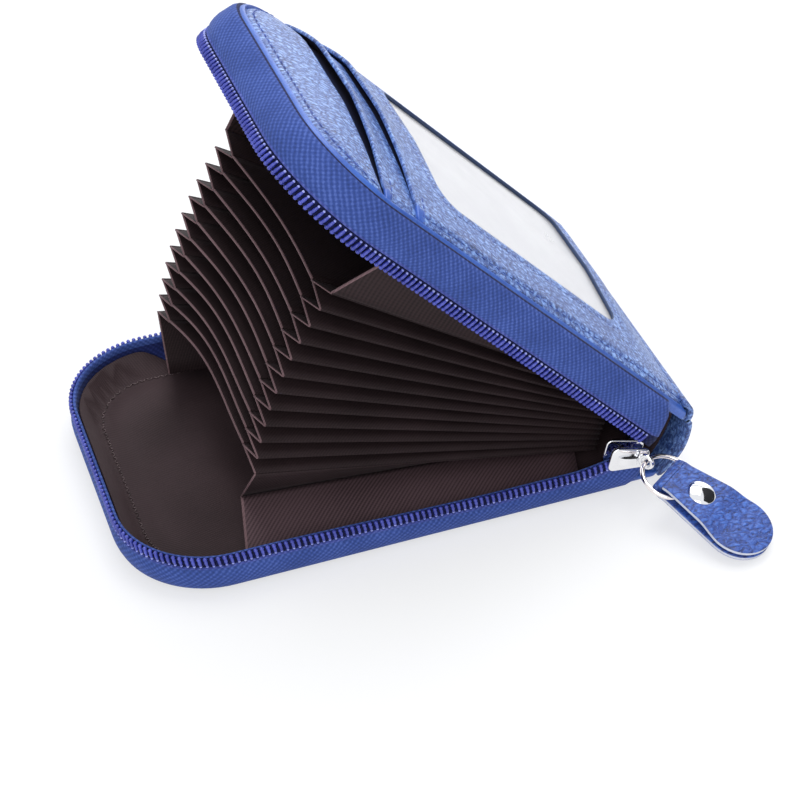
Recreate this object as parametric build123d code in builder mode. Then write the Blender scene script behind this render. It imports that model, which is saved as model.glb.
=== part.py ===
# Zip-round card holder, half open: a pebbled leather case with a window and two card slots on its
# front, a coil zip round three sides and an accordion of twelve card pockets inside.
# Everything is modelled shut, with the back cover on the ground: X runs from the slot end to the
# spine, Y across the case and Z up. The front cover and the dividers are then swung open about the
# hinge line of the spine, each by its own share of the opening angle.
import os
from math import asin, atan2, cos, degrees, hypot, radians, sin

from build123d import *

os.makedirs("parts", exist_ok=True)

# Case, shut
case_length = 108.0
case_width = 68.0
corner_radius = 17.5
spine_corner_radius = 1.5
half_height = 10.0
opening_angle = 46.6
hinge_inset = 4.0

# Covers
leather_thickness = 1.2
rim_height = 2.6
rim_width = 1.6
rim_round = 0.8
rim_bevel = 0.4
board_thickness = 1.0
lining_thickness = 0.4
panel_thickness = 0.8
board_spine_gap = 3.2

# Card slots and window on the front
slot_mouth_x = -38.4
window_panel_x = -30.5
window_panel_spine_gap = 1.6
window_x = 8.0
window_length = 54.6
window_width = 40.4
window_corner = 5.0
film_thickness = 0.3
film_margin = 2.5
film_gap = 0.3
pocket_back_thickness = 0.3

# Zip tape, standing on the rim, and its coil
tape_foot_inset = 0.35
tape_foot_width = 1.1
tape_belly_out = 2.2
tape_belly_height = 5.8
tape_belly_flat = 1.2
tape_inner_belly_out = 0.5
tape_face_out = 1.4
tape_thickness = 0.6
tape_fold_height = 7.3
tape_edge_gap = 0.5
tape_end_inset = 3.8
tape_end_round = 2.4
coil_gap = 0.4
coil_depth = 0.9
coil_cord_depth = 0.4
coil_cord_drop = 0.35
coil_pitch = 1.75
coil_turn_width = 0.85
coil_end_gap = 1.9

# Zip stops
stop_length = 1.5
stop_height = 2.0
stop_gap = 0.2

# Slider
slider_from_hinge = 4.6
slider_tilt = 12.0
slider_length = 8.6
slider_mouth_height = 5.8
slider_heel_height = 4.4
slider_round = 1.4
slider_plate = 0.8
slider_clearance = 0.3
slider_web_length = 1.2
slider_web_height = 0.4
eye_from_middle = 2.8
eye_wire = 1.0
eye_inner_radius = 0.85
eye_stand_off = 0.8

# Pull ring and tab
ring_radius = 5.3
ring_wire = 1.0
ring_wire_sides = 8
tab_heading = -55.0
tab_ground_gap = 0.03
tab_leaf = 1.1
tab_gap = 1.5
tab_neck_width = 9.0
tab_width = 14.0
tab_length = 24.0
tab_top = 1.0
rivet_at = 7.5
rivet_fit = 0.03
rivet_cap_radius = 3.0
rivet_cap_height = 1.0
rivet_post_radius = 1.1
rivet_back_radius = 2.3
rivet_back_height = 0.5

# Accordion of card pockets
divider_count = 11
divider_thickness = 0.4
divider_pitch = 1.1
divider_mouth_radius = 82.2
mouth_slant = 2.4
divider_root_radius = 6.0
divider_corner = 1.2
fold_wall_gap = 6.6
pleat_depth = 6.9
fan_spread_angle = 2.0
gusset_thickness = 0.2
gusset_gap = 0.15
fold_step = 0.12
first_fold_share = 0.1
first_fold_height = 3.5
flap_height = 5.6
flap_root_radius = 9.5
flap_gap = 0.3
flap_trim = 0.8
pocket_bottom_thickness = 0.4
pocket_bottom_gap = 0.2

# Spine
spine_bow = 1.4
lining_gap = 0.2

overrun = 5.0

# Worked-out places
shut_height = 2 * half_height
spine_x = case_length / 2
hinge_x = spine_x - hinge_inset
tape_end_x = spine_x - tape_end_inset
coil_end_x = tape_end_x - coil_end_gap
middle_divider = (divider_count + 1) / 2
divider_root_x = hinge_x - divider_root_radius
divider_mouth_x = hinge_x - divider_mouth_radius
fold_half_width = case_width / 2 - fold_wall_gap
divider_half_width = fold_half_width - pleat_depth
window_panel_end_x = spine_x - window_panel_spine_gap
film_length = window_length + 2 * film_margin
film_x = window_x - film_length / 2
slot_panel_end_x = film_x - film_gap
back_face = Plane.XY
front_face = Plane(origin=(0, 0, shut_height), x_dir=(1, 0, 0), z_dir=(0, 0, -1))


def swing(share):
    """Where a piece goes from its shut place, by its share of the opening angle."""
    hinge = Location((hinge_x, 0, half_height))
    return hinge * Location((0, 0, 0), (0, opening_angle * share, 0)) * hinge.inverse()


def swung_point(x, y, z, share):
    return (swing(share) * Location((x, y, z))).position


def save(piece, name):
    piece.label = name
    export_step(piece, f"parts/{name}.step")


def cover_face(inset):
    with BuildSketch(mode=Mode.PRIVATE) as face:
        Rectangle(case_length - 2 * inset, case_width - 2 * inset)
        fillet(face.vertices().group_by(Axis.X)[0], corner_radius - inset)
        if inset < spine_corner_radius:
            fillet(face.vertices().group_by(Axis.X)[-1], spine_corner_radius - inset)
    return face.sketch


def tray_face():
    # Inside of the rim, running out through the spine end, where the case has no rim.
    inner_width = case_width - 2 * rim_width
    with BuildSketch(mode=Mode.PRIVATE) as face:
        add(cover_face(rim_width))
        with Locations((spine_x, 0)):
            Rectangle(corner_radius, inner_width)
    return face.sketch


def leather_cover(base, raised):
    """A cover's leather: a sheet with its edge turned over into a rim on three sides. The rim
    also stands out by raised over the sheet, as a frame for the panels laid on it."""
    with BuildPart() as cover:
        with BuildSketch(base.offset(-raised)):
            add(cover_face(0))
        extrude(amount=rim_height + raised)
        inside, outside = cover.faces().filter_by(Axis.Z).sort_by(
            lambda face: (face.center() - base.origin).dot(base.z_dir), reverse=True
        )
        fillet(outside.edges(), rim_round)
        chamfer(inside.edges(), rim_bevel)
        with BuildSketch(base.offset(leather_thickness)):
            add(tray_face())
        extrude(amount=rim_height, mode=Mode.SUBTRACT)
        if raised:
            with BuildSketch(base):
                add(tray_face())
            extrude(amount=-(raised + overrun), mode=Mode.SUBTRACT)
    return cover.part


def inner_sheet(base, height, thickness):
    """A sheet that lies inside the rim and stops short of the spine, where the case folds."""
    with BuildPart() as sheet:
        with BuildSketch(base.offset(height)):
            add(cover_face(rim_width))
            with Locations((spine_x, 0)):
                Rectangle(2 * board_spine_gap, case_width, mode=Mode.SUBTRACT)
        extrude(amount=thickness)
    return sheet.part


def zip_line(base, out, end_x, height=0.0):
    """The zip's route round three sides, at a distance out from the leather's edge."""
    half_length = case_length / 2 + out
    half_width = case_width / 2 + out
    radius = corner_radius + out
    bend_x = radius - half_length
    bend_y = half_width - radius
    with BuildLine(base.offset(height), mode=Mode.PRIVATE) as line:
        Line((end_x, -half_width), (bend_x, -half_width))
        CenterArc((bend_x, -bend_y), radius, 270, -90)
        Line((-half_length, -bend_y), (-half_length, bend_y))
        CenterArc((bend_x, bend_y), radius, 180, -90)
        Line((bend_x, half_width), (end_x, half_width))
    return line.wires()[0]


def zip_tape(base):
    """Padded woven tape: it stands on the rim, swells out over it and thins to the coil's edge."""
    top = half_height - tape_edge_gap
    start = base.from_local_coords(Vector(tape_end_x, -case_width / 2, 0))
    across = Plane(origin=start, x_dir=-base.y_dir, z_dir=-base.x_dir)
    foot_out = -tape_foot_inset
    foot_in = foot_out - tape_foot_width
    face_in = tape_face_out - tape_thickness
    with BuildPart() as tape:
        with BuildSketch(across):
            with BuildLine():
                low = tape_belly_height - tape_belly_flat
                outer = [(foot_out, rim_height), (tape_belly_out, low)]
                outer += [(tape_belly_out, tape_belly_height), (tape_face_out, tape_fold_height)]
                inner = [(face_in, top), (tape_inner_belly_out, tape_belly_height)]
                inner += [(tape_inner_belly_out, low), (foot_in, rim_height)]
                Polyline(*outer, (tape_face_out, top), *inner, close=True)
            make_face()
        sweep(path=zip_line(base, 0, tape_end_x))
        # The padded end is rounded off beside the spine.
        side = Plane(origin=base.origin, x_dir=base.x_dir, z_dir=-base.y_dir)
        with BuildSketch(side):
            with BuildLine():
                corner = (tape_end_x, rim_height)
                before = (tape_end_x - tape_end_round, rim_height)
                beyond = (tape_end_x, rim_height + tape_end_round)
                outside = (tape_end_x + overrun, rim_height - overrun)
                RadiusArc(before, beyond, -tape_end_round)
                Line(beyond, (outside[0], beyond[1]))
                Line((outside[0], beyond[1]), outside)
                Line(outside, (before[0], outside[1]))
                Line((before[0], outside[1]), before)
            make_face()
        extrude(amount=case_width, both=True, mode=Mode.SUBTRACT)
    return tape.part


def zip_coil(base, phase_share):
    """The nylon coil, sewn to the tape's outer face: a cord with a turn every pitch."""
    foot = tape_fold_height
    cord_top = half_height - coil_gap - coil_cord_drop
    turn_top = half_height - coil_gap
    cord_route = zip_line(base, tape_face_out + coil_cord_depth / 2, coil_end_x, foot)
    flat_route = zip_line(Plane.XY, tape_face_out, coil_end_x)
    count = int(flat_route.length / coil_pitch)
    lead = (flat_route.length - (count - 1) * coil_pitch) / 2
    places = []
    for turn in range(count):
        along = (lead + (turn + phase_share) * coil_pitch) / flat_route.length
        at = flat_route.position_at(along)
        heading = flat_route.tangent_at(along)
        places.append(Location((at.X, at.Y), degrees(atan2(heading.Y, heading.X))))
    with BuildPart() as coil:
        with BuildSketch(base.offset(foot)):
            with Locations(*places):
                Rectangle(coil_turn_width, coil_depth, align=(Align.CENTER, Align.MIN))
        extrude(amount=turn_top - foot)
        with BuildSketch(base.offset(foot)):
            trace(cord_route, coil_cord_depth)
        extrude(amount=cord_top - foot)
    return coil.part


# Back half
lining_height = leather_thickness + board_thickness
save(leather_cover(back_face, 0), "back_leather")
save(inner_sheet(back_face, leather_thickness, board_thickness), "back_board")
save(inner_sheet(back_face, lining_height, lining_thickness), "back_lining")
save(zip_tape(back_face), "back_zip_tape")
save(zip_coil(back_face, 0), "back_zip_coil")


def zip_stop(base, side):
    """A small moulded block that ends the coil on one side."""
    out = side * (case_width / 2 + tape_face_out + coil_depth / 2)
    top = half_height - coil_gap
    place = (coil_end_x + stop_gap + stop_length / 2, out)
    with BuildPart() as stop:
        with BuildSketch(base.offset(top - stop_height)):
            with Locations(place):
                Rectangle(stop_length, coil_depth)
        extrude(amount=stop_height)
    return stop.part


save(zip_stop(back_face, -1), "bottom_stop")
save(zip_stop(back_face, 1), "back_top_stop")

# Front half, opened
fully = swing(1)
save(leather_cover(front_face, panel_thickness).moved(fully), "front_leather")
save(inner_sheet(front_face, leather_thickness, board_thickness).moved(fully), "front_board")
save(inner_sheet(front_face, lining_height, lining_thickness).moved(fully), "front_lining")
save(zip_tape(front_face).moved(fully), "front_zip_tape")
save(zip_coil(front_face, 1 / 2).moved(fully), "front_zip_coil")
save(zip_stop(front_face, -1).moved(fully), "front_top_stop")

# Card slots and window, layered on the front
with BuildPart() as slot_panel:
    with BuildSketch(front_face.offset(-panel_thickness)):
        add(tray_face())
        with Locations(((slot_mouth_x + slot_panel_end_x) / 2, 0)):
            Rectangle(slot_panel_end_x - slot_mouth_x, case_width, mode=Mode.INTERSECT)
    extrude(amount=panel_thickness)
save(slot_panel.part.moved(fully), "slot_panel")

window_panel_length = window_panel_end_x - window_panel_x
with BuildPart() as window_panel:
    with BuildSketch(front_face.offset(-2 * panel_thickness)):
        add(cover_face(rim_round))
        with Locations(((window_panel_x + window_panel_end_x) / 2, 0)):
            Rectangle(window_panel_length, case_width, mode=Mode.INTERSECT)
        with Locations((window_x, 0)):
            RectangleRounded(window_length, window_width, window_corner, mode=Mode.SUBTRACT)
    extrude(amount=panel_thickness)
save(window_panel.part.moved(fully), "window_panel")

film_width = window_width + 2 * film_margin
with BuildPart() as window_film:
    with BuildSketch(front_face.offset(-panel_thickness)):
        with Locations((window_x, 0)):
            RectangleRounded(film_length, film_width, window_corner)
    extrude(amount=film_thickness)
save(window_film.part.moved(fully), "window_film")

pocket_back_x = slot_panel_end_x + gusset_gap
pocket_back_length = window_panel_end_x - pocket_back_x
with BuildPart() as pocket_back:
    with BuildSketch(front_face.offset(-pocket_back_thickness)):
        with Locations((pocket_back_x + pocket_back_length / 2, 0)):
            Rectangle(pocket_back_length, case_width - 2 * rim_width)
    extrude(amount=pocket_back_thickness)
save(pocket_back.part.moved(fully), "card_pocket_back")


def spine_arc(inset, height, depth):
    """An arc across the open spine, seen from its end, that bows outwards between the covers. Its
    feet stand inset from the spine and height in from the covers' faces, and its middle lies
    depth below the middle of the outermost arc."""
    def ends(back_from_spine, up):
        low = swung_point(spine_x - back_from_spine, 0, up, 0)
        high = swung_point(spine_x - back_from_spine, 0, shut_height - up, 1)
        return Vector(low.X, low.Z), Vector(high.X, high.Z)

    low, high = ends(0, 0)
    chord = high - low
    out = Vector(chord.Y, -chord.X).normalized()
    middle = (low + high) / 2 + out * (spine_bow - depth)
    foot, head = ends(inset, height)
    return foot, middle, head


def spine_piece(face, back, half_width):
    with BuildPart() as piece:
        with BuildSketch(Plane.XZ):
            with BuildLine():
                ThreePointArc(*face)
                Line(face[2], back[2])
                ThreePointArc(*back)
                Line(back[0], face[0])
            make_face()
        extrude(amount=half_width, both=True)
    return piece.part


outer_arc = spine_arc(0, 0, 0)
seam_arc = spine_arc(0, leather_thickness, leather_thickness)
lined_depth = leather_thickness + lining_thickness
inner_arc = spine_arc(lining_thickness, leather_thickness, lined_depth)
save(spine_piece(outer_arc, seam_arc, case_width / 2 - spine_corner_radius), "spine_leather")
save(spine_piece(seam_arc, inner_arc, case_width / 2 - rim_width - lining_gap), "spine_lining")


# Accordion of card pockets
def fan_share(place):
    return 1 / 2 + (place - middle_divider) * fan_spread_angle / opening_angle


def fan_height(place):
    return half_height + (place - middle_divider) * divider_pitch


def mouth_at(y):
    """The pockets' mouths run a little askew, further out on the far side."""
    return divider_mouth_x - mouth_slant * y / fold_half_width


near_mouth = (mouth_at(-divider_half_width), -divider_half_width)
far_mouth = (mouth_at(divider_half_width), divider_half_width)
for number in range(1, divider_count + 1):
    with BuildPart() as divider:
        with BuildSketch(Plane.XY.offset(fan_height(number) - divider_thickness / 2)):
            with BuildLine():
                Line((divider_root_x, divider_half_width), (divider_root_x, -divider_half_width))
                Polyline((divider_root_x, -divider_half_width), near_mouth, far_mouth)
                Line(far_mouth, (divider_root_x, divider_half_width))
            sheet = make_face()
            fillet(sheet.vertices().sort_by(Axis.X)[:2], divider_corner)
        extrude(amount=divider_thickness)
    save(divider.part.moved(swing(fan_share(number))), f"divider_{number:02d}")


def section_plane(start, end, along):
    x_dir = (end - start).normalized()
    z_dir = along - x_dir * along.dot(x_dir)
    return Plane(origin=(start + end) / 2, x_dir=x_dir, z_dir=z_dir)


def fold_strip(inner, outer, root_x, trim):
    """One leaf of a gusset, between two fold lines that run from the root to the mouth. A fold
    line is its half-width, its height when shut and its share of the opening."""
    ends = []
    for mouth in (False, True):
        folds = (inner, outer)
        ends.append([swung_point(mouth_at(f[0]) if mouth else root_x, *f) for f in folds])
    along = (sum(ends[1], Vector()) - sum(ends[0], Vector())) / 2
    with BuildPart() as strip:
        for start, end in ends:
            with BuildSketch(section_plane(start, end, along)):
                Rectangle((end - start).length - trim, gusset_thickness)
        loft(ruled=True)
    return strip.part


def gusset(side):
    """The pleated side of the accordion: it folds in at each divider and out between them."""
    inner_y = side * (divider_half_width + gusset_gap)
    outer_y = side * fold_half_width
    first = (inner_y, first_fold_height, first_fold_share)
    strips = []
    for number in range(divider_count + 1):
        place = number + 1 / 2
        low = (inner_y, fan_height(number) + fold_step, fan_share(number))
        high = (inner_y, fan_height(number + 1) - fold_step, fan_share(number + 1))
        low_fold = (outer_y, fan_height(place) - fold_step, fan_share(place))
        high_fold = (outer_y, fan_height(place) + fold_step, fan_share(place))
        strips.append(fold_strip(low if number else first, low_fold, divider_root_x, gusset_gap))
        if number < divider_count:
            strips.append(fold_strip(high, high_fold, divider_root_x, gusset_gap))
    return Compound(children=strips)


wall_y = case_width / 2 + tape_inner_belly_out - flap_gap
flap_root_x = hinge_x - flap_root_radius
last_fold = divider_count + 1 / 2
for side, name in ((-1, "near"), (1, "far")):
    save(gusset(side), f"gusset_{name}")
    first = (side * (divider_half_width + gusset_gap), first_fold_height - fold_step, first_fold_share)
    back_seam = (side * wall_y, flap_height, 0)
    save(fold_strip(first, back_seam, flap_root_x, flap_trim), f"back_flap_{name}")
    last = (side * fold_half_width, fan_height(last_fold) + fold_step, fan_share(last_fold))
    front_seam = (side * wall_y, shut_height - flap_height, 1)
    save(fold_strip(last, front_seam, flap_root_x, flap_trim), f"front_flap_{name}")

# The pockets' closed ends, joined in one strip behind the dividers
with BuildPart() as pocket_bottom:
    front_edge, back_edge = [], []
    for step in range(1, 2 * divider_count + 2):
        place = step / 2 + 1 / 4
        for edge, depth in ((front_edge, 0), (back_edge, pocket_bottom_thickness)):
            x = divider_root_x + pocket_bottom_gap + depth
            point = swung_point(x, 0, fan_height(place), fan_share(place))
            edge.append((point.X, point.Z))
    with BuildSketch(Plane.XZ):
        with BuildLine():
            Polyline(*front_edge, *reversed(back_edge), close=True)
        make_face()
    extrude(amount=divider_half_width, both=True)
save(pocket_bottom.part, "pocket_bottom")

# Slider, on the near side of the zip: two plates either side of the tape, joined by a web
slider_x = hinge_x - slider_from_hinge
tilt = radians(slider_tilt)
slider_side = Plane(
    origin=(slider_x, -case_width / 2, half_height),
    x_dir=(cos(tilt), 0, -sin(tilt)),
    z_dir=(0, -1, 0),
)
inner_plate_out = tape_face_out - tape_thickness - slider_clearance
outer_plate_out = tape_face_out + coil_depth + slider_clearance
slider_face_out = outer_plate_out + slider_plate

# The tab leans out from the slider's eye until its tip rests on the ground
tab_reach = ring_radius + tab_length
tab_half = tab_gap / 2 + tab_leaf
tab_drop = half_height - tab_ground_gap
tab_dip = asin(tab_drop / hypot(tab_reach, tab_half)) - atan2(tab_half, tab_reach)
heading = radians(tab_heading)
tab_along = Vector(cos(heading) * cos(tab_dip), sin(heading) * cos(tab_dip), -sin(tab_dip))
tab_across = Vector(-sin(heading), cos(heading), 0)
tab_normal = tab_along.cross(tab_across)
eye_out = case_width / 2 + slider_face_out + eye_stand_off + eye_inner_radius
eye = Vector(slider_x + eye_from_middle, -eye_out, half_height)
ring_middle = eye + tab_along * ring_radius
tab_plane = Plane(origin=ring_middle, x_dir=tab_along, z_dir=tab_normal)
tab_side = Plane(origin=ring_middle, x_dir=tab_along, z_dir=-tab_across)

with BuildPart() as slider:
    for out in (inner_plate_out - slider_plate, outer_plate_out):
        with BuildSketch(slider_side.offset(out)):
            with BuildLine():
                mouth, heel = slider_mouth_height / 2, slider_heel_height / 2
                end = slider_length / 2
                Polyline((-end, -mouth), (end, -heel), (end, heel), (-end, mouth), close=True)
            plate = make_face()
            fillet(plate.vertices(), slider_round)
        extrude(amount=slider_plate)
    with BuildSketch(slider_side.offset(inner_plate_out)):
        Rectangle(slider_web_length, slider_web_height)
    extrude(amount=outer_plate_out - inner_plate_out)
    with BuildSketch(Plane(origin=eye, z_dir=tab_across)):
        Circle(eye_inner_radius + eye_wire)
        Circle(eye_inner_radius, mode=Mode.SUBTRACT)
    extrude(amount=eye_wire / 2, both=True)
save(slider.part, "slider")

# Split ring through the slider's eye, drawn closed
with BuildPart() as pull_ring:
    with BuildSketch(tab_side):
        with Locations((ring_radius, 0)):
            RegularPolygon(ring_wire / 2, ring_wire_sides)
    revolve(axis=Axis(ring_middle, tab_normal))
save(pull_ring.part, "pull_ring")

# Leather tab, folded through the ring and riveted below it
fold_x = tab_half - tab_top
with BuildPart() as pull_tab:
    for side in (-1, 1):
        with BuildSketch(tab_plane.offset(side * tab_gap / 2)):
            with Locations((fold_x + tab_leaf / 2, 0)):
                Rectangle(tab_leaf, tab_neck_width)
            with Locations((tab_length - tab_width / 2, 0)):
                Circle(tab_width / 2)
            make_hull()
            with Locations((rivet_at, 0)):
                Circle(rivet_post_radius, mode=Mode.SUBTRACT)
        extrude(amount=side * tab_leaf)
    with BuildSketch(tab_side):
        with Locations((fold_x, 0)):
            Circle(tab_half)
            Circle(tab_gap / 2, mode=Mode.SUBTRACT)
        with Locations((fold_x + tab_half, 0)):
            Rectangle(2 * tab_half, 2 * tab_half, mode=Mode.SUBTRACT)
    extrude(amount=tab_neck_width / 2, both=True)
save(pull_tab.part, "pull_tab")

rivet_middle = ring_middle + tab_along * rivet_at
rivet_side = Plane(origin=rivet_middle, x_dir=tab_along, z_dir=-tab_across)
post_radius = rivet_post_radius - rivet_fit
with BuildPart() as rivet:
    with BuildSketch(rivet_side):
        with BuildLine():
            rim = (rivet_cap_radius, tab_half)
            top = (0, tab_half + rivet_cap_height)
            Polyline(top, (0, -tab_half), (post_radius, -tab_half), (post_radius, tab_half), rim)
            dome_radius = (rivet_cap_radius**2 + rivet_cap_height**2) / (2 * rivet_cap_height)
            RadiusArc(rim, top, -dome_radius)
        make_face()
    revolve(axis=Axis(rivet_middle, tab_normal))
save(rivet.part, "rivet")

with BuildPart() as rivet_back:
    with BuildSketch(Plane(origin=rivet_middle, z_dir=tab_normal).offset(-tab_half)):
        Circle(rivet_back_radius)
    extrude(amount=-rivet_back_height)
save(rivet_back.part, "rivet_back")
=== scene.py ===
from math import asin, atan2, cos, hypot, pi, radians, sin

import bmesh
import bpy
from mathutils import Matrix, Vector, noise


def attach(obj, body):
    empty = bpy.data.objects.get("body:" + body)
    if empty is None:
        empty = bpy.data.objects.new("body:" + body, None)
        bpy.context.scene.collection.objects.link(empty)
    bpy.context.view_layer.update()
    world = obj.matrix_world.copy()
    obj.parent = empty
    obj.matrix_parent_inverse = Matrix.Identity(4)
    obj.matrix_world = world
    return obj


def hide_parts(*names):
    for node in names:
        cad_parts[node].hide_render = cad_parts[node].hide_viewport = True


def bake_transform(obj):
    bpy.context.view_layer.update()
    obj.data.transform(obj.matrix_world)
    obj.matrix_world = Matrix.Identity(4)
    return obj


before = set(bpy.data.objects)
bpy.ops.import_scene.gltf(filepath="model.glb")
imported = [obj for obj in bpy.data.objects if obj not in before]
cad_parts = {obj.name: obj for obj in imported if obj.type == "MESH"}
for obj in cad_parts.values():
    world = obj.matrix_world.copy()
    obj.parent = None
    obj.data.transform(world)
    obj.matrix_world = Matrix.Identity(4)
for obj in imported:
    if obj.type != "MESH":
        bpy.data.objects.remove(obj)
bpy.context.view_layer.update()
mm = 0.001

# the shut case in millimetres; the lid opens about a line inside the spine
case = dict(length=108.0, width=68.0, corner=17.5, spineCorner=1.5, halfHeight=10.0, opening=46.6,
            hingeX=50.0)


def swing(share):
    # from the shut place to the open one, by a share of the lid's angle
    hinge = Matrix.Translation((case["hingeX"] * mm, 0, case["halfHeight"] * mm))
    return hinge @ Matrix.Rotation(radians(case["opening"]) * share, 4, "Y") @ hinge.inverted()


# the lid is made as a back half, lying on its face, then turned over and swung open
lidPlace = swing(1) @ Matrix.Translation((0, 0, 2 * case["halfHeight"] * mm)) @ Matrix.Scale(-1, 4, (0, 0, 1))


# shader maths: an expression on signals adds its Math nodes
class Signal:
    def __init__(self, paint, socket):
        self.paint = paint
        self.socket = socket

    def math(self, operation, *terms):
        return self.paint.node("ShaderNodeMath", dict(operation=operation), *terms)

    def __add__(self, other):
        return self.math("ADD", self, other)

    def __rsub__(self, other):
        return self.math("SUBTRACT", other, self)

    def __mul__(self, other):
        return self.math("MULTIPLY", self, other)

    def __pow__(self, other):
        return self.math("POWER", self, other)

    __radd__ = __add__
    __rmul__ = __mul__


class Paint:
    # one material, or the world, and its nodes
    def __init__(self, name, owner=None, **shader):
        self.material = owner or bpy.data.materials.new(name)
        self.material.use_nodes = True
        self.tree = self.material.node_tree
        self.shader = self.tree.nodes["Background" if owner else "Principled BSDF"]
        self.set(**shader)

    def plug(self, socket, value):
        if isinstance(value, Signal):
            self.tree.links.new(value.socket, socket)
        elif isinstance(value, (tuple, list)) and len(value) == 3 and socket.type == "RGBA":
            socket.default_value = (*value, 1)
        else:
            socket.default_value = value

    def set(self, **shader):
        for name, value in shader.items():
            self.plug(self.shader.inputs[name.replace("_", " ")], value)
        return self

    def node(self, kind, settings=None, *values, out=0, **named):
        made = self.tree.nodes.new(kind)
        for name, value in (settings or {}).items():
            if name == "stops":
                ramp = made.color_ramp
                while len(ramp.elements) < len(value):
                    ramp.elements.new(0.5)
                for element, (place, colour) in zip(ramp.elements, value):
                    element.position = place
                    element.color = (*colour, 1)
            else:
                setattr(made, name, value)
        for place, value in enumerate(values):
            self.plug(made.inputs[place], value)
        for name, value in named.items():
            self.plug(made.inputs[name], value)
        return Signal(self, made.outputs[out])

    def mix(self, share, first, second):
        return self.node("ShaderNodeMix", dict(data_type="RGBA"), out=2, Factor=share, A=first, B=second)

    def place(self, scale=(1, 1, 1), uv=False):
        source = self.node("ShaderNodeTexCoord", out="UV" if uv else "Object")
        return self.node("ShaderNodeMapping", Vector=source, Scale=scale)

    def noise(self, where, scale, detail=3, rough=0.5):
        return self.node("ShaderNodeTexNoise", Vector=where, Scale=scale, Detail=detail, Roughness=rough)

    def bands(self, where, direction, scale, wobble=0.3):
        return self.node("ShaderNodeTexWave", dict(wave_type="BANDS", bands_direction=direction),
                         Vector=where, Scale=scale, Distortion=wobble, Detail=1)

    def cells(self, where, scale):
        return self.node("ShaderNodeTexVoronoi", dict(feature="DISTANCE_TO_EDGE"), out="Distance",
                         Vector=where, Scale=scale)

    def ramp(self, value, *stops):
        return self.node("ShaderNodeValToRGB", dict(stops=stops), value)

    def between(self, value, low, high):
        return self.node("ShaderNodeMapRange", dict(clamp=True), value, low, high, 0.0, 1.0)

    def bump(self, height, strength, distance):
        return self.node("ShaderNodeBump", Height=height, Strength=strength, Distance=distance)


def pebbledLeather(name, deep, high, grain=1.0, gloss=0.36):
    # drum-milled grain: pebbles a millimetre across, long ones among them, with creases between; the colour
    # follows the grain's height, near black in the creases and pale on the tops, which is painted crease
    # shade and painted highlight, and the broad noise adds random tone
    paint = Paint(name)
    where = paint.place(scale=(0.66, 1.3, 1.0))
    pushed = paint.node("ShaderNodeVectorMath", dict(operation="MULTIPLY_ADD"),
                        paint.noise(where, 480, 3, 0.6), (0.0026, 0.0026, 0.0026), where)
    domes = paint.between(paint.cells(pushed, 760 / grain), 0.0, 0.34) ** 0.75
    lesser = paint.between(paint.noise(pushed, 1700 / grain, 3, 0.6), 0.36, 0.64)
    fine = paint.noise(where, 5200, 4)
    broad = paint.noise(where, 90, 3)
    height = domes * 0.6 + lesser * 0.5 + fine * 0.1
    tone = paint.between(domes * 0.45 + lesser * 0.45 + broad * 0.4, 0.28, 1.02)
    # painted crease shade at the ramp's dark end and painted highlight at its pale end
    colour = paint.ramp(tone, (0.0, tuple(c * 0.35 for c in deep)), (0.34, deep), (1.0, high))
    rough = gloss + (1 - domes) * 0.2 + broad * 0.08
    return paint.set(Base_Color=colour, Roughness=rough, Specular_IOR_Level=0.75, Coat_Weight=0.22,
                     Coat_Roughness=0.3, Normal=paint.bump(height, 0.75, 0.00028)).material


def smoothLeather(name, deep, high, gloss=0.3):
    # the stretched grain of rolled and cut edges
    paint = Paint(name)
    where = paint.place()
    grain = paint.noise(where, 1900, 5, 0.6)
    broad = paint.noise(where, 130, 2)
    colour = paint.mix(paint.between(grain * 0.6 + broad * 0.6, 0.35, 0.85), deep, high)
    return paint.set(Base_Color=colour, Roughness=gloss + grain * 0.18, Specular_IOR_Level=0.6,
                     Normal=paint.bump(grain, 0.3, 0.0001)).material


def wovenTape(name, deep, high):
    # zip tape: a close knit with slanting ribs, read along the band's own UV in millimetres
    paint = Paint(name)
    where = paint.place(uv=True)
    ribs = paint.bands(where, "DIAGONAL", 0.5, 1.2)
    crossed = paint.bands(paint.place(scale=(-1, 1, 1), uv=True), "DIAGONAL", 0.62, 1.2)
    fuzz = paint.noise(paint.place(), 2300, 4, 0.7)
    broad = paint.noise(paint.place(), 120, 2)
    weave = ribs * 0.65 + crossed * 0.35
    tone = paint.between(weave * 0.4 + fuzz * 0.6 + broad * 0.4, 0.3, 1.15)
    colour = paint.ramp(tone, (0.0, tuple(c * 0.45 for c in deep)), (0.5, deep), (1.0, high))
    return paint.set(Base_Color=colour, Roughness=0.8 + fuzz * 0.12, Specular_IOR_Level=0.25,
                     Sheen_Weight=0.12, Sheen_Roughness=0.4, Sheen_Tint=(0.5, 0.6, 1.0, 1),
                     Normal=paint.bump(weave + fuzz * 0.6, 0.45, 0.00013)).material


def nylon(name, deep, high, gloss=0.24):
    paint = Paint(name)
    where = paint.place()
    fine = paint.noise(where, 3200, 3)
    colour = paint.mix(paint.between(paint.noise(where, 300, 2), 0.3, 0.7), deep, high)
    return paint.set(Base_Color=colour, Roughness=gloss + fine * 0.16, Specular_IOR_Level=0.6,
                     Normal=paint.bump(fine, 0.15, 0.00006)).material


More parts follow.
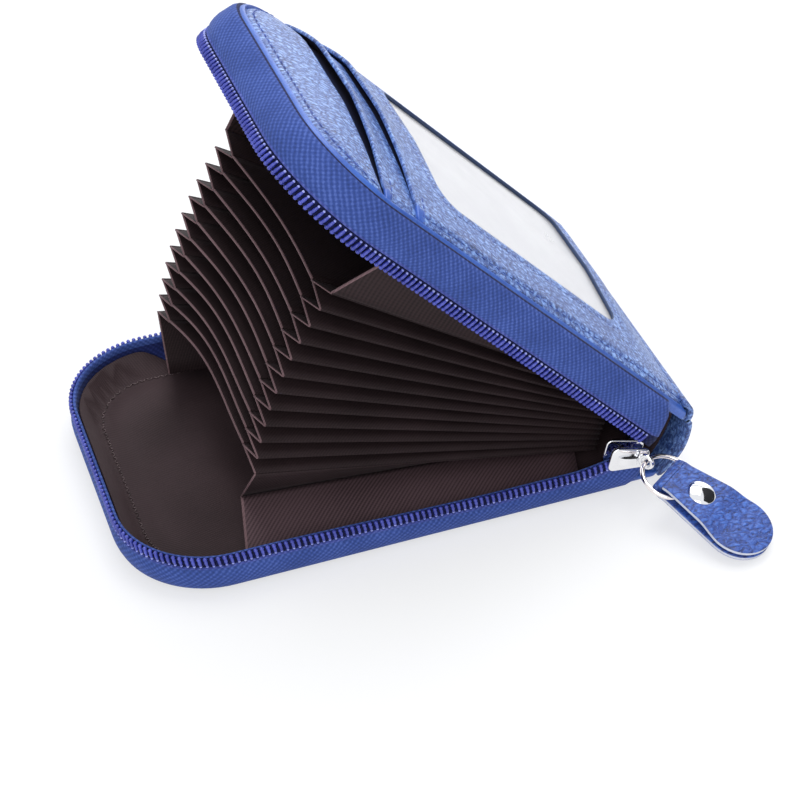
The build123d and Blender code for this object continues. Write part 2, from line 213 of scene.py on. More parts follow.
def satinTwill(name, deep, high, ribs=1.0, contrast=0.4, sheen=0.03):
    # lining cloth: fine slanting ribs, read in millimetres along the piece's own UV
    paint = Paint(name)
    where = paint.place(uv=True)
    rib = paint.bands(where, "DIAGONAL", 0.95 * ribs, 0.25)
    cross = paint.bands(where, "Y", 1.1 * ribs, 0.4)
    fuzz = paint.noise(paint.place(), 2600, 4, 0.6)
    broad = paint.noise(paint.place(), 70, 3)
    weave = rib * 0.75 + cross * 0.25
    tone = paint.between(weave * contrast + fuzz * 0.3 + broad * 0.6, 0.25, 1.05)
    return paint.set(Base_Color=paint.mix(tone, deep, high), Roughness=0.6 + fuzz * 0.2,
                     Specular_IOR_Level=0.2, Sheen_Weight=sheen, Sheen_Roughness=0.35,
                     Sheen_Tint=(0.8, 0.65, 0.68, 1),
                     Normal=paint.bump(weave + fuzz * 0.3, 0.3, 0.00009)).material


def polishedMetal(name, colour=(0.88, 0.88, 0.90), rough=0.05):
    paint = Paint(name)
    smudge = paint.noise(paint.place(), 380, 4, 0.6)
    scratch = paint.noise(paint.place(scale=(1, 6, 1)), 1500, 3)
    return paint.set(Base_Color=paint.mix(smudge, colour, tuple(c * 0.93 for c in colour)), Metallic=1.0,
                     Roughness=rough + smudge * 0.05, Normal=paint.bump(scratch, 0.03, 0.00002)).material


def clearFilm(name):
    # a cloudy film, a little wavy
    paint = Paint(name)
    haze = paint.noise(paint.place(), 60, 3)
    waves = paint.noise(paint.place(), 140, 2)
    return paint.set(Base_Color=paint.mix(haze, (0.84, 0.84, 0.87), (0.92, 0.92, 0.94)),
                     Roughness=0.14 + haze * 0.1, Alpha=0.42 + haze * 0.1, Specular_IOR_Level=0.6,
                     Normal=paint.bump(waves, 0.12, 0.0003)).material


def stiffBoard(name):
    paint = Paint(name)
    fibre = paint.noise(paint.place(), 900, 5, 0.7)
    return paint.set(Base_Color=paint.mix(fibre, (0.16, 0.14, 0.12), (0.24, 0.21, 0.18)), Roughness=0.9,
                     Normal=paint.bump(fibre, 0.4, 0.0001)).material


# the pale high colours paint a highlight on the pebbles' tops, and the dark ramp end paints shade in the
# creases
leatherSkin = pebbledLeather("pebbledLeather", (0.028, 0.086, 0.35), (0.24, 0.42, 0.85), 1.1, 0.32)
tabSkin = pebbledLeather("tabLeather", (0.011, 0.052, 0.30), (0.044, 0.15, 0.58), 1.05, 0.42)
rimSkin = smoothLeather("rolledRimLeather", (0.018, 0.070, 0.36), (0.062, 0.17, 0.60))
cutEdge = smoothLeather("dyedCutEdge", (0.004, 0.020, 0.075), (0.008, 0.034, 0.115), 0.4)
rawEdge = smoothLeather("rawLeatherEdge", (0.45, 0.47, 0.56), (0.66, 0.68, 0.76), 0.5)
tapeCloth = wovenTape("zipTapeKnit", (0.040, 0.078, 0.30), (0.12, 0.19, 0.56))
# painted shade: a near black copy of the tape for the strip under the coil and the groove beside the rim
tapeShade = wovenTape("zipTapePaintedShade", (0.006, 0.009, 0.055), (0.016, 0.024, 0.12))
# painted highlight: a lighter copy of the tape for the fold over the coil
tapeRidgeHighlight = wovenTape("zipTapeFoldHighlight", (0.06, 0.085, 0.34), (0.17, 0.22, 0.60))
# painted shade: a darker copy of the tape for the band's inside
tapeInsideShade = wovenTape("zipTapeInsideShade", (0.014, 0.024, 0.13), (0.042, 0.062, 0.26))
coilNylon = nylon("coilNylon", (0.024, 0.034, 0.29), (0.07, 0.092, 0.50))
beadThread = nylon("coilStitchThread", (0.18, 0.22, 0.70), (0.44, 0.48, 0.90), 0.4)
# the seams' own thread colour, also put on the cover's groove faces as painted shade
seamThreadAndGrooveShade = nylon("seamThreadAndGrooveShade", (0.020, 0.048, 0.24), (0.07, 0.13, 0.46), 0.5)
liningThread = nylon("liningThread", (0.03, 0.018, 0.019), (0.16, 0.11, 0.115), 0.6)
liningCloth = satinTwill("liningSatin", (0.017, 0.0095, 0.0105), (0.060, 0.037, 0.041))
# the accordion's cloth: the lining's satin made darker, painted shade deep between the dividers
pocketShadedCloth = satinTwill("pocketShadedTwill", (0.0085, 0.0045, 0.005), (0.034, 0.0195, 0.0215))
flapCloth = satinTwill("flapTwill", (0.022, 0.012, 0.0135), (0.105, 0.064, 0.073), 0.7, 0.8)
# the lid's flaps: a darker copy of the flap cloth, painted shade
lidFlapShadedCloth = satinTwill("lidFlapShadedTwill", (0.006, 0.003, 0.0033), (0.029, 0.016, 0.0175), 0.7, 0.8)
foldEdge = satinTwill("foldedEdge", (0.10, 0.056, 0.062), (0.21, 0.13, 0.14))
# painted shade: a near black cloth for the slots' insides, which lie in shadow
slotPaintedShade = satinTwill("slotInside", (0.0025, 0.0045, 0.022), (0.006, 0.010, 0.045))
windowBack = satinTwill("windowBacking", (0.74, 0.74, 0.77), (0.84, 0.84, 0.86))
chrome = polishedMetal("chrome")
wireChrome = polishedMetal("ringChrome", (0.90, 0.84, 0.83))
filmClear = clearFilm("windowFilm")
boardFibre = stiffBoard("stiffBoard")
print("materials made")


def meshFrom(name, bm):
    mesh = bpy.data.meshes.new(name)
    bm.to_mesh(mesh)
    bm.free()
    return mesh


def joinMesh(bm, mesh):
    bm.from_mesh(mesh)
    bpy.data.meshes.remove(mesh)


def newObject(name, data):
    made = bpy.data.objects.new(name, data)
    bpy.context.scene.collection.objects.link(made)
    return made


def finishPiece(name, bm, materials, slot, nodes=(), bodies=None, uv=None, weld=True, normals=True):
    if weld:
        bmesh.ops.remove_doubles(bm, verts=bm.verts, dist=1e-6)
    if normals:
        bmesh.ops.recalc_face_normals(bm, faces=bm.faces)
    if uv:
        layer = bm.loops.layers.uv.new("pattern")
        for face in bm.faces:
            for loop in face.loops:
                loop[layer].uv = uv(loop.vert.co)
    mesh = meshFrom(name, bm)
    for face in mesh.polygons:
        face.use_smooth = True
    for material in materials if isinstance(materials, (list, tuple)) else [materials]:
        mesh.materials.append(material)
    piece = newObject(name, mesh)
    if bodies:
        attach(piece, bodies)
    if nodes:
        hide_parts(*nodes)
    return piece


def sharpen(piece, angle=40):
    piece.data.set_sharp_from_angle(angle=radians(angle))
    return piece


def template(name, *balls):
    # a small mesh of low-cut balls, each with a place, half-sizes, a material number and a lean
    bm = bmesh.new()
    for place, size, number, lean in balls:
        matrix = Matrix.Translation(Vector(place) * mm) @ Matrix.Rotation(lean, 4, "Y")
        made = bmesh.ops.create_uvsphere(bm, u_segments=6, v_segments=4, radius=1,
                                         matrix=matrix @ Matrix.Diagonal((*(s * mm for s in size), 1)))
        for face in {f for v in made["verts"] for f in v.link_faces}:
            face.material_index = number
    return meshFrom(name, bm)


def scatter(bm, mesh, places):
    for place in places:
        copy = mesh.copy()
        copy.transform(place)
        joinMesh(bm, copy)


def unitGrid(along, across):
    bm = bmesh.new()
    bmesh.ops.create_grid(bm, x_segments=along, y_segments=across, size=0.5)
    return bm


def bevel(bm, geom, width, segments, affect="EDGES", clamp=False):
    bmesh.ops.bevel(bm, geom=geom, offset=width * mm, offset_type="OFFSET", segments=segments, profile=0.5,
                    affect=affect, clamp_overlap=clamp, material=-1)


def roundEdges(bm, width, angle=1.0, clamp=False):
    rims = [e for e in bm.edges if e.is_manifold and e.calc_face_angle(0) > angle]
    bevel(bm, rims, width, 3, clamp=clamp)


def grow(bm, faces, height):
    made = bmesh.ops.extrude_face_region(bm, geom=faces)["geom"]
    verts = [g for g in made if isinstance(g, bmesh.types.BMVert)]
    bmesh.ops.translate(bm, verts=verts, vec=(0, 0, height * mm))


def thicken(bm, depth):
    # from a skin to a closed sheet; on a lid's piece, depth goes inwards, towards the board
    grow(bm, bm.faces[:], depth)
    bmesh.ops.recalc_face_normals(bm, faces=bm.faces)


def solidify(bm, thickness):
    bmesh.ops.recalc_face_normals(bm, faces=bm.faces)
    bmesh.ops.solidify(bm, geom=bm.faces[:], thickness=thickness * mm)


def paintFaces(bm, pick):
    # gives each face the material that its middle's place in millimetres calls for
    for face in bm.faces:
        face.material_index = pick(face, face.calc_center_median() / mm)


def ease(low, high, value):
    t = min(max((value - low) / (high - low), 0), 1)
    return t * t * (3 - 2 * t)


def plan(out=0.0):
    # the case's outline, grown by out: half its length and width, its large corners' radius and middle
    halfL, halfW, r = case["length"] / 2 + out, case["width"] / 2 + out, case["corner"] + out
    return halfL, halfW, r, r - halfL, halfW - r


def edgeDistance(x, y):
    # millimetres in from the case's edge, the spine end left open
    halfL, halfW, r, bendX, bendY = plan()
    if x < bendX and abs(y) > bendY:
        return r - hypot(bendX - x, abs(y) - bendY)
    return min(halfW - abs(y), x + halfL)


def alongRoute(x, y):
    # millimetres along the zip from the spine end of the near side, for a point beside it
    halfL, halfW, r, bendX, bendY = plan()
    run = halfL - bendX
    if x >= bendX:
        return halfL - x if y < 0 else 2 * run + pi * r + 2 * bendY - (halfL - x)
    if y < -bendY:
        return run + r * atan2(bendX - x, -bendY - y)
    if y > bendY:
        return run + pi * r / 2 + 2 * bendY + r * (pi / 2 - atan2(bendX - x, y - bendY))
    return run + pi * r / 2 + (y + bendY)


def routePoint(distance, out, endX):
    # a point beside the zip's route and the route's heading there; distance starts at endX
    halfL, halfW, r, bendX, bendY = plan(out)
    run, arc, end = endX - bendX, pi / 2 * r, 2 * bendY
    if distance < run:
        return endX - distance, -halfW, pi
    distance -= run
    if distance < arc:
        a = -pi / 2 - distance / r
        return bendX + r * cos(a), -bendY + r * sin(a), a - pi / 2
    distance -= arc
    if distance < end:
        return -halfL, -bendY + distance, pi / 2
    distance -= end
    if distance < arc:
        a = pi - distance / r
        return bendX + r * cos(a), bendY + r * sin(a), a - pi / 2
    return bendX + distance - arc, halfW, 0.0


def routeLength(out, endX):
    _, _, r, bendX, bendY = plan(out)
    return 2 * (endX - bendX) + pi * r + 2 * bendY


def sweepRoute(profile, endX, runSteps=40, endSteps=12, arcSteps=18):
    # carries a closed profile of (out, height) pairs round three sides of the case
    bm = bmesh.new()
    _, halfW, _, bendX, bendY = plan()
    points = [bm.verts.new((endX * mm, -(halfW + out) * mm, height * mm)) for out, height in profile]
    first = [bm.edges.new((a, b)) for a, b in zip(points, points[1:] + points[:1])]

    def push(edges, vector, steps):
        for _ in range(steps):
            made = bmesh.ops.extrude_edge_only(bm, edges=edges)["geom"]
            verts = {g for g in made if isinstance(g, bmesh.types.BMVert)}
            bmesh.ops.translate(bm, verts=list(verts), vec=vector)
            edges = [g for g in made if isinstance(g, bmesh.types.BMEdge) and set(g.verts) <= verts]
        return edges

    def turn(edges, centre):
        verts = list({v for e in edges for v in e.verts})
        made = bmesh.ops.spin(bm, geom=verts + edges, cent=(centre[0] * mm, centre[1] * mm, 0),
                              axis=(0, 0, 1), dvec=(0, 0, 0), angle=-pi / 2, steps=arcSteps,
                              use_merge=False, use_duplicate=False)["geom_last"]
        return [g for g in made if isinstance(g, bmesh.types.BMEdge)]

    run = (endX - bendX) * mm
    last = push(first, (-run / runSteps, 0, 0), runSteps)
    last = turn(last, (bendX, -bendY))
    last = push(last, (0, 2 * bendY * mm / endSteps, 0), endSteps)
    last = turn(last, (bendX, bendY))
    last = push(last, (run / runSteps, 0, 0), runSteps)
    for edges in (first, last):
        verts = list({v for e in edges for v in e.verts})
        bmesh.ops.contextual_create(bm, geom=edges + verts)
    bmesh.ops.recalc_face_normals(bm, faces=bm.faces)
    return bm


def mirrorToLid(bm):
    bmesh.ops.transform(bm, matrix=lidPlace, verts=bm.verts)
    bmesh.ops.reverse_faces(bm, faces=bm.faces)


def finishHalf(half, name, bm, materials, slot, node=None, **more):
    # a piece of one half; the front one's goes over onto the lid
    if half == "front":
        mirrorToLid(bm)
    return finishPiece(f"{half}{name}", bm, materials, slot, [f"{half}_{node}"] if node else [], half, **more)


def planUv(co):
    return co.x / mm, co.y / mm


def halfUv(half, uv=planUv):
    # the lid's cloth is read as on the back half that it was made like
    return uv if half == "back" else lambda co: uv(lidPlace.inverted() @ co)


def caseOutline(inset, height, spineEnd=None):
    # the plan of a half: two large corners at the slot end and two small ones at the spine
    bm = bmesh.new()
    halfL, halfW = plan(-inset)[:2]
    endX = halfL if spineEnd is None else spineEnd
    corners = [bm.verts.new((x * mm, y * mm, height * mm))
               for x, y in ((-halfL, -halfW), (endX, -halfW), (endX, halfW), (-halfL, halfW))]
    bm.faces.new(corners)
    bevel(bm, corners[1:3], max(case["spineCorner"] - inset, 0.4), 4, "VERTICES")
    bevel(bm, corners[::3], case["corner"] - inset, 14, "VERTICES")
    return bm


def gridOver(bm, step, faces=None, extra=()):
    # cuts faces into a grid, so that a skin can swell and dip; extra cuts are places along the case
    for axis in (0, 1):
        places = [v.co[axis] for v in bm.verts]
        low, high = min(places), max(places)
        count = int((high - low) / (step * mm))
        cuts = [low + (high - low) * n / (count + 1) for n in range(1, count + 1)]
        for cut in cuts + [x * mm for x in extra if axis == 0]:
            at, normal = Vector(), Vector()
            at[axis], normal[axis] = cut, 1
            kept = [f for f in bm.faces if faces is None or faces(f)]
            geom = list({e for f in kept for e in f.edges}) + list({v for f in kept for v in f.verts}) + kept
            bmesh.ops.bisect_plane(bm, geom=geom, dist=1e-7, plane_co=at, plane_no=normal)


# leather covers; the front one swells over its whole width and steps down beside the first slot's mouth
cover = dict(thickness=1.2, rimHeight=2.6, rimWidth=1.6, rimRound=0.8, rimShown=1.05, rimFade=(48.0, 53.5),
             rimSink=(50.0, 53.6), rollEnd=(51.0, 54.0), rollFrom=0.8, rollRun=2.4, softEdge=0.3, softRun=9.0,
             seamInset=2.7, seamDip=0.25, seamHalf=0.5, groove=(2.6, 2.85), frameRise=0.8, swell=3.6,
             swellRun=17.0, nearReach=44.0, nearPower=1.35, farReach=17.0, farPower=1.3, farLift=0.15,
             stepCuts=(-40.3, -39.7, -39.1, -38.5), slotInsideX=-38.45, sunk=0.06, wave=0.12, waveLength=9.0,
             outerTop=0.3, gridStep=3.4, thinRing=0.005,
             rings=(1.1, 1.25, 1.4, 1.8, 2.3, 2.6, 2.85, 3.1, 3.5, 4.5))


def dome(x, y):
    # how far the padded front stands out over its flat board
    halfL, halfW = plan()[:2]
    share = min(max(edgeDistance(x, y), 0) / cover["farReach"], 1)
    near = min((halfW + min(max(y, -halfW), halfW)) / cover["nearReach"], 1)
    far = 1 - (1 - share) ** cover["farPower"]
    end = ease(0, cover["swellRun"], halfL - x)
    return cover["swell"] * min(far, 1 - (1 - near) ** cover["nearPower"] + cover["farLift"] * share) * end


def ringPlace(co, inset):
    # where a point of the face's outline goes on a ring further in
    halfL, halfW, r, bendX, bendY = plan()
    side, small = 1 if co.y > 0 else -1, case["spineCorner"]
    if co.x < (bendX + 0.01) * mm:
        first = centre = Vector((bendX, side * bendY, 0))
        radius = r - inset
    else:
        radius = max(small - inset, 0.3)
        first = Vector((halfL - small, side * (halfW - small), 0))
        centre = Vector((halfL - inset - radius, side * (halfW - inset - radius), 0))
    way = Vector((co.x, co.y, 0)) - first * mm
    return (centre + way.normalized() * radius) * mm + Vector((0, 0, co.z))


def shapeCover(v, rise):
    # pinches the seam down and, on the front, lowers the leather behind the panels and swells it
    x, y, z = (c / mm for c in v.co)
    inside = edgeDistance(x, y)
    if z > cover["thickness"]:
        v.co.z += (cover["thickness"] - z) * ease(*cover["rimSink"], x) * mm
    if z >= cover["outerTop"]:
        return
    v.co.z += cover["seamDip"] * max(0, 1 - ((inside - cover["seamInset"]) / cover["seamHalf"]) ** 2) * mm
    if not rise:
        v.co.z += cover["softEdge"] * (1 - ease(0, cover["softRun"], inside)) * mm
        return
    shown = 1 - ease(cover["stepCuts"][0], cover["stepCuts"][-1], x)
    wave = cover["wave"] * noise.noise(Vector((x, y, 0)) / cover["waveLength"]) * ease(2, 6, inside)
    roll = (1 - ease(cover["rollFrom"], cover["rimShown"], inside)) * (1 - ease(*cover["rollEnd"], x))
    lowered = rise * (1 - max(roll, shown * ease(cover["rimShown"], cover["rollRun"], inside)))
    v.co.z += (lowered - dome(x, y) - wave * shown + cover["sunk"] * (1 - shown)) * mm


def coverLeather(rise):
    # one half's leather: a sheet whose edge rolls up into a rim
    bm = caseOutline(0, -rise)
    grow(bm, bm.faces[:], cover["rimHeight"] + rise)
    across = [e for e in bm.edges if abs(e.verts[0].co.z - e.verts[1].co.z) < 1e-7]
    bevel(bm, across, cover["rimRound"], 5, clamp=True)
    inner = max(bm.faces, key=lambda f: f.calc_center_median().z * 1e4 + f.calc_area())
    bmesh.ops.inset_region(bm, faces=[inner], thickness=(cover["rimWidth"] - cover["rimRound"]) * mm, depth=0)
    grow(bm, [inner], cover["thickness"] - cover["rimHeight"])
    bmesh.ops.delete(bm, geom=[inner], context="FACES")
    outer = min(bm.faces, key=lambda f: f.calc_center_median().z * 1e4 - f.calc_area())
    start = last = [v.co.copy() for v in outer.verts]
    for inset in cover["rings"]:  # each ring starts thin, and its points then move to their places
        bmesh.ops.inset_region(bm, faces=[outer], thickness=cover["thinRing"] * mm, depth=0)
        ring = [ringPlace(co, inset) for co in start]
        for v in outer.verts:
            v.co = ring[min(range(len(ring)), key=lambda n: (last[n] - v.co).length)]
        last = ring
    gridOver(bm, cover["gridStep"], lambda f: f.calc_center_median().z < (0.01 - rise) * mm,
             cover["stepCuts"] if rise else ())
    for v in bm.verts:
        shapeCover(v, rise)
    return bm


def coverMaterial(centre, rise):
    # the rim, the hidden leather inside the first slot, painted near black as painted shade, and the seam's
    # groove, painted dark with the seam thread as painted shade
    inside = edgeDistance(centre.x, centre.y)
    shown = cover["rimShown"] * (1 - ease(*cover["rimFade"], centre.x) if rise else 1)
    if inside < shown and centre.z > -rise - 1:
        return 1
    if not rise or centre.z >= cover["outerTop"]:
        return 0
    if centre.x > cover["slotInsideX"]:
        return 2
    # the groove's faces take the seam thread's dark colour: a painted shade line
    return 3 if cover["groove"][0] < inside < cover["groove"][1] else 0


for half, rise in (("back", 0), ("front", cover["frameRise"])):
    bm = coverLeather(rise)
    paintFaces(bm, lambda face, centre: coverMaterial(centre, rise))
    bmesh.ops.remove_doubles(bm, verts=bm.verts, dist=1e-6)
    bmesh.ops.recalc_face_normals(bm, faces=bm.faces)
    skins = [leatherSkin, rimSkin, slotPaintedShade, seamThreadAndGrooveShade]
    sharpen(finishHalf(half, "Cover", bm, skins, "leather", "leather", normals=False), 55)
print("covers made")

# the zip: a padded knitted band that stands on the rim, and the coil on its thin edge
tape = dict(endX=50.2, sag=1.4, sagRise=(-34, 20), sagFall=(34, 45), endRound=4.2, shadeBelow=1.05,
            shade=(7.1, 9.35), ridge=(6.7, 7.1), outside=1.2, insideFrom=0.77, footTop=2.5, padTop=6.9,
            foldTop=7.3, uneven=0.12, reach=dict(back=0.45, front=1.3))
coil = dict(endX=48.3, out=1.4, pitch=1.22, foot=7.5, tip=9.75, lean=0.2)

tapeProfile = [(-0.25, 0.95), (0.12, 0.95), (0.62, 1.05), (1.25, 1.5), (1.75, 2.4), (2.08, 3.6), (2.2, 4.8),
               (2.12, 5.9), (1.8, 6.65), (1.92, 6.8), (2.0, 6.92), (1.9, 7.06), (1.55, 7.14), (1.42, 7.3),
               (1.42, 9.2), (1.36, 9.5), (1.1, 9.58), (0.8, 9.35), (0.78, 8.0), (0.72, 6.6), (0.5, 5.4),
               (0.1, 4.2), (-0.55, 3.2), (-1.35, 2.75), (-1.35, 2.4), (-0.25, 2.3)]


def sagOf(x, y, height):
    # the near side of the lower half has slumped a little between its ends
    if y > 0:
        return 0
    return tape["sag"] * ease(*tape["sagRise"], x) * (1 - ease(*tape["sagFall"], x)) * ease(3.5, 7, height)


def tapeMaterial(face, centre):
    # the fold over the coil, painted lighter as a painted highlight; the inside, painted darker as painted
    # shade; and the strips along the coil and the rim, painted dark as painted shade
    out = -edgeDistance(centre.x, centre.y)
    if tape["ridge"][0] < centre.z < tape["ridge"][1] and out > tape["outside"]:
        return 2
    if out < tape["insideFrom"] and centre.z > 2.6:
        return 3
    shaded = tape["shade"][0] < centre.z < tape["shade"][1] and out > tape["outside"]
    return 1 if shaded or centre.z < tape["shadeBelow"] and out > -0.3 else 0


def shapeBand(bm, half):
    for v in bm.verts:
        x, y, z = (c / mm for c in v.co)
        if edgeDistance(x, y) < 0.3 and z < tape["footTop"]:
            v.co.z -= tape["reach"][half] * (1 - ease(0.9, tape["footTop"], z)) * mm
        past = x - (tape["endX"] - tape["endRound"])
        if past > 0 and z < tape["foldTop"]:  # the padding is rounded off beside the spine
            shrink = max(1 - (past / tape["endRound"]) ** 2, 0) ** 0.5
            v.co.z = (tape["padTop"] + (z - tape["padTop"]) * (0.12 + 0.88 * shrink)) * mm
            sideY = (case["width"] / 2 + 0.9) * (1 if y > 0 else -1)
            v.co.y = (sideY + (y - sideY) * (0.25 + 0.75 * shrink)) * mm
        if 2.8 < z < tape["padTop"]:
            v.co.z += noise.noise(Vector((x, y, 3.0)) / 11) * tape["uneven"] * mm
        if half == "back":
            v.co.z -= sagOf(x, y, z) * mm


def bandUv(co):
    x, y, z = (c / mm for c in co)
    return alongRoute(x, y), z


for half in ("back", "front"):
    bm = sweepRoute(tapeProfile, tape["endX"])
    paintFaces(bm, tapeMaterial)
    shapeBand(bm, half)
    skins = [tapeCloth, tapeShade, tapeRidgeHighlight, tapeInsideShade]
    piece = finishHalf(half, "Tape", bm, skins, "zip_tape", "zip_tape", uv=halfUv(half, bandUv),
                       normals=False)

# each turn of the coil: a stitch where it is sewn down, a leg, and a head that bends over the edge
middle, tall = (coil["foot"] + coil["tip"]) / 2, (coil["tip"] - coil["foot"]) / 2
tooth = template("coilTurn", ((0, 0.44, middle), (0.38, 0.44, tall), 0, coil["lean"]),
                 ((0.16, 0.4, coil["tip"] - 0.34), (0.46, 0.48, 0.4), 0, 0),
                 ((-0.16, 0.4, coil["foot"] + 0.1), (0.3, 0.34, 0.24), 1, 0))
asMade = dict(normals=False, weld=False)
for half, phase in (("back", 0), ("front", 0.5)):
    bm = bmesh.new()
    length = routeLength(coil["out"], coil["endX"])
    count = int(length / coil["pitch"])
    lead = (length - (count - 1) * coil["pitch"]) / 2
    places = []
    for n in range(count):
        x, y, heading = routePoint(lead + (n + phase) * coil["pitch"], coil["out"], coil["endX"])
        drop = sagOf(x, y, 9) if half == "back" else 0
        places.append(Matrix.Translation((x * mm, y * mm, -drop * mm)) @ Matrix.Rotation(heading, 4, "Z"))
    scatter(bm, tooth, places)
    finishHalf(half, "Coil", bm, [coilNylon, beadThread], "zip_coil", "zip_coil", **asMade)
print("zip made")

# front panels: the window's frame and the card slots' mouths, which stand open a little
panel = dict(thickness=0.8, slotMouthX=-38.4, slotEndX=-22.1, windowEdgeX=-30.5, endX=52.4, endCorner=1.2,
             seamOut=2.2, seamDip=0.2, firstGape=1.6, secondGape=1.0, gapeMiddle=2, gapeHalf=29.5,
             gapeReach=5.0, tuckWidth=1.6, tuckY=29.6, sideInset=1.15, sideRun=3.6, sideDrop=0.8,
             slotEdge=0.28, windowEdge=0.25)
window = dict(x=8.0, length=54.6, width=40.4, corner=5.0, filmMargin=2.5, filmDepth=0.78, clothDepth=0.3,
              clothShort=3, clothNarrow=5, sheet=0.25)


def gape(x, y, mouthX, amount):
    across = max(0, 1 - (abs(y - panel["gapeMiddle"]) / panel["gapeHalf"]) ** 2.2)
    return amount * across * (1 - ease(0, panel["gapeReach"], x - mouthX))


def edgeDrop(x, y):
    # the panels' long edges bend down to the rim
    return panel["sideDrop"] * (1 - ease(panel["sideInset"], panel["sideRun"], edgeDistance(x, y)))


def windowDistance(x, y):
    # millimetres out from the window's edge
    dx = abs(x - window["x"]) - window["length"] / 2 + window["corner"]
    dy = abs(y) - window["width"] / 2 + window["corner"]
    return hypot(max(dx, 0), max(dy, 0)) + min(max(dx, dy), 0) - window["corner"]


def lidPiece(name, bm, materials, node, slot, uv=None):
    bmesh.ops.remove_doubles(bm, verts=bm.verts, dist=1e-6)
    mirrorToLid(bm)
    bmesh.ops.recalc_face_normals(bm, faces=bm.faces)
    return finishPiece(name, bm, materials, slot, [node], "front", uv, normals=False)


def tucked(centre, mouthX):
    # the mouth's tucked-in ends beside the rim are smooth
    return centre.x < mouthX + panel["tuckWidth"] and abs(centre.y) > panel["tuckY"]


def roundedLoop(bm, centreX, sizeX, sizeY, corner, cuts=30):
    # a rounded rectangle of edges with the same count of points whatever its size
    verts = [bm.verts.new(((centreX + sx * sizeX / 2) * mm, sy * sizeY / 2 * mm, 0))
             for sx, sy in ((-1, -1), (1, -1), (1, 1), (-1, 1))]
    for a, b in zip(verts, verts[1:] + verts[:1]):
        bm.edges.new((a, b))
    bevel(bm, verts, corner, 6, "VERTICES")
    straight = [e for e in bm.edges if e.calc_length() > 10 * mm]
    bmesh.ops.subdivide_edges(bm, edges=straight, cuts=cuts)


panelWidth = case["width"] - 2 * panel["sideInset"]
bm = unitGrid(14, 44)
for v in bm.verts:
    v.co.x = (panel["slotMouthX"] + (v.co.x + 0.5) * (panel["slotEndX"] - panel["slotMouthX"])) * mm
    v.co.y *= panelWidth * mm
thicken(bm, panel["thickness"])
roundEdges(bm, panel["slotEdge"])


def slotPanelMaterial(face, centre):
    if centre.x > panel["windowEdgeX"] - 0.2 or face.normal.z > 0.9:
        # inside the pockets: painted shade, near black
        return 2  # inside the pockets
    return 1 if tucked(centre, panel["slotMouthX"]) else 0


paintFaces(bm, slotPanelMaterial)
for v in bm.verts:
    x, y = v.co.x / mm, v.co.y / mm
    lift = gape(x, y, panel["slotMouthX"], panel["firstGape"]) + dome(x, y) - edgeDrop(x, y)
    v.co.z -= (lift + panel["thickness"] + 0.05) * mm
lidPiece("slotPanel", bm, [leatherSkin, rimSkin, slotPaintedShade], "slot_panel", "leather")

bm = bmesh.new()
roundedLoop(bm, (panel["windowEdgeX"] + panel["endX"]) / 2, panel["endX"] - panel["windowEdgeX"], panelWidth,
            panel["endCorner"])
roundedLoop(bm, window["x"], window["length"], window["width"], window["corner"])
bmesh.ops.bridge_loops(bm, edges=bm.edges[:])
spokes = [e for e in bm.edges if len(e.link_faces) == 2]
bmesh.ops.subdivide_edges(bm, edges=spokes, cuts=17, use_grid_fill=True)
thicken(bm, panel["thickness"])
roundEdges(bm, panel["windowEdge"])


def windowPanelMaterial(face, centre):
    past = max(abs(centre.x - window["x"]) - window["length"] / 2, abs(centre.y) - window["width"] / 2)
    if past < 0.2 and centre.z > 0.05:
        return 2  # the window's cut edge
    return 1 if tucked(centre, panel["windowEdgeX"]) else 0


paintFaces(bm, windowPanelMaterial)
for v in bm.verts:
    x, y = v.co.x / mm, v.co.y / mm
    nearest = min(abs(edgeDistance(x, y) - cover["seamInset"]), abs(windowDistance(x, y) - panel["seamOut"]))
    sewn = panel["seamDip"] * max(0, 1 - (nearest / 0.6) ** 2)
    lift = gape(x, y, panel["windowEdgeX"], panel["secondGape"]) + dome(x, y) - sewn - edgeDrop(x, y)
    v.co.z -= (lift + 2 * panel["thickness"]) * mm
lidPiece("windowPanel", bm, [leatherSkin, rimSkin, cutEdge], "window_panel", "leather")


def underWindow(name, node, material, slot, centreX, sizeX, sizeY, depth):
    # a thin sheet that follows the lid's swell
    bm = unitGrid(30, 24)
    for v in bm.verts:
        v.co.x = (centreX + v.co.x * sizeX) * mm
        v.co.y *= sizeY * mm
    thicken(bm, window["sheet"])
    for v in bm.verts:
        v.co.z -= (dome(v.co.x / mm, v.co.y / mm) + depth) * mm
    return sharpen(lidPiece(name, bm, material, node, slot, uv=halfUv("front")))


underWindow("windowFilm", "window_film", filmClear, "film", window["x"],
            window["length"] + 2 * window["filmMargin"], window["width"] + 2 * window["filmMargin"],
            window["filmDepth"])
backingWidth = case["width"] - 2 * window["clothNarrow"]
piece = underWindow("pocketBacking", "card_pocket_back", windowBack, "pocket_back",
                    (panel["endX"] + panel["slotEndX"]) / 2,
                    panel["endX"] - panel["slotEndX"] - window["clothShort"], backingWidth,
                    window["clothDepth"])


print("front panels made")

# seams: one small thread a stitch, half sunk in its groove
seam = dict(pitch=2.0, stitch=1.45, thread=0.13, endX=52.0, panelEndX=51.0, panelStart=1.5, panelLegs=40,
            backHeight=0.16, panelHeight=0.18, tuckIn=0.9, tuckPitch=1.4, tuckAcross=(27.8, 29.5, 31.0, 32.2),
            slotTuckHeight=0.93, windowTuckHeight=1.73, zigzag=0.8, zigzagInset=4.2, zigzagEndX=50.0,
            zigzagTurn=0.75, zigzagLong=1.0, zigzagThread=0.12, zigzagHeight=2.66)


def stitchMesh(name, long, thread):
    return template(name, ((0, 0, 0), (long / 2, thread, thread), 0, 0))


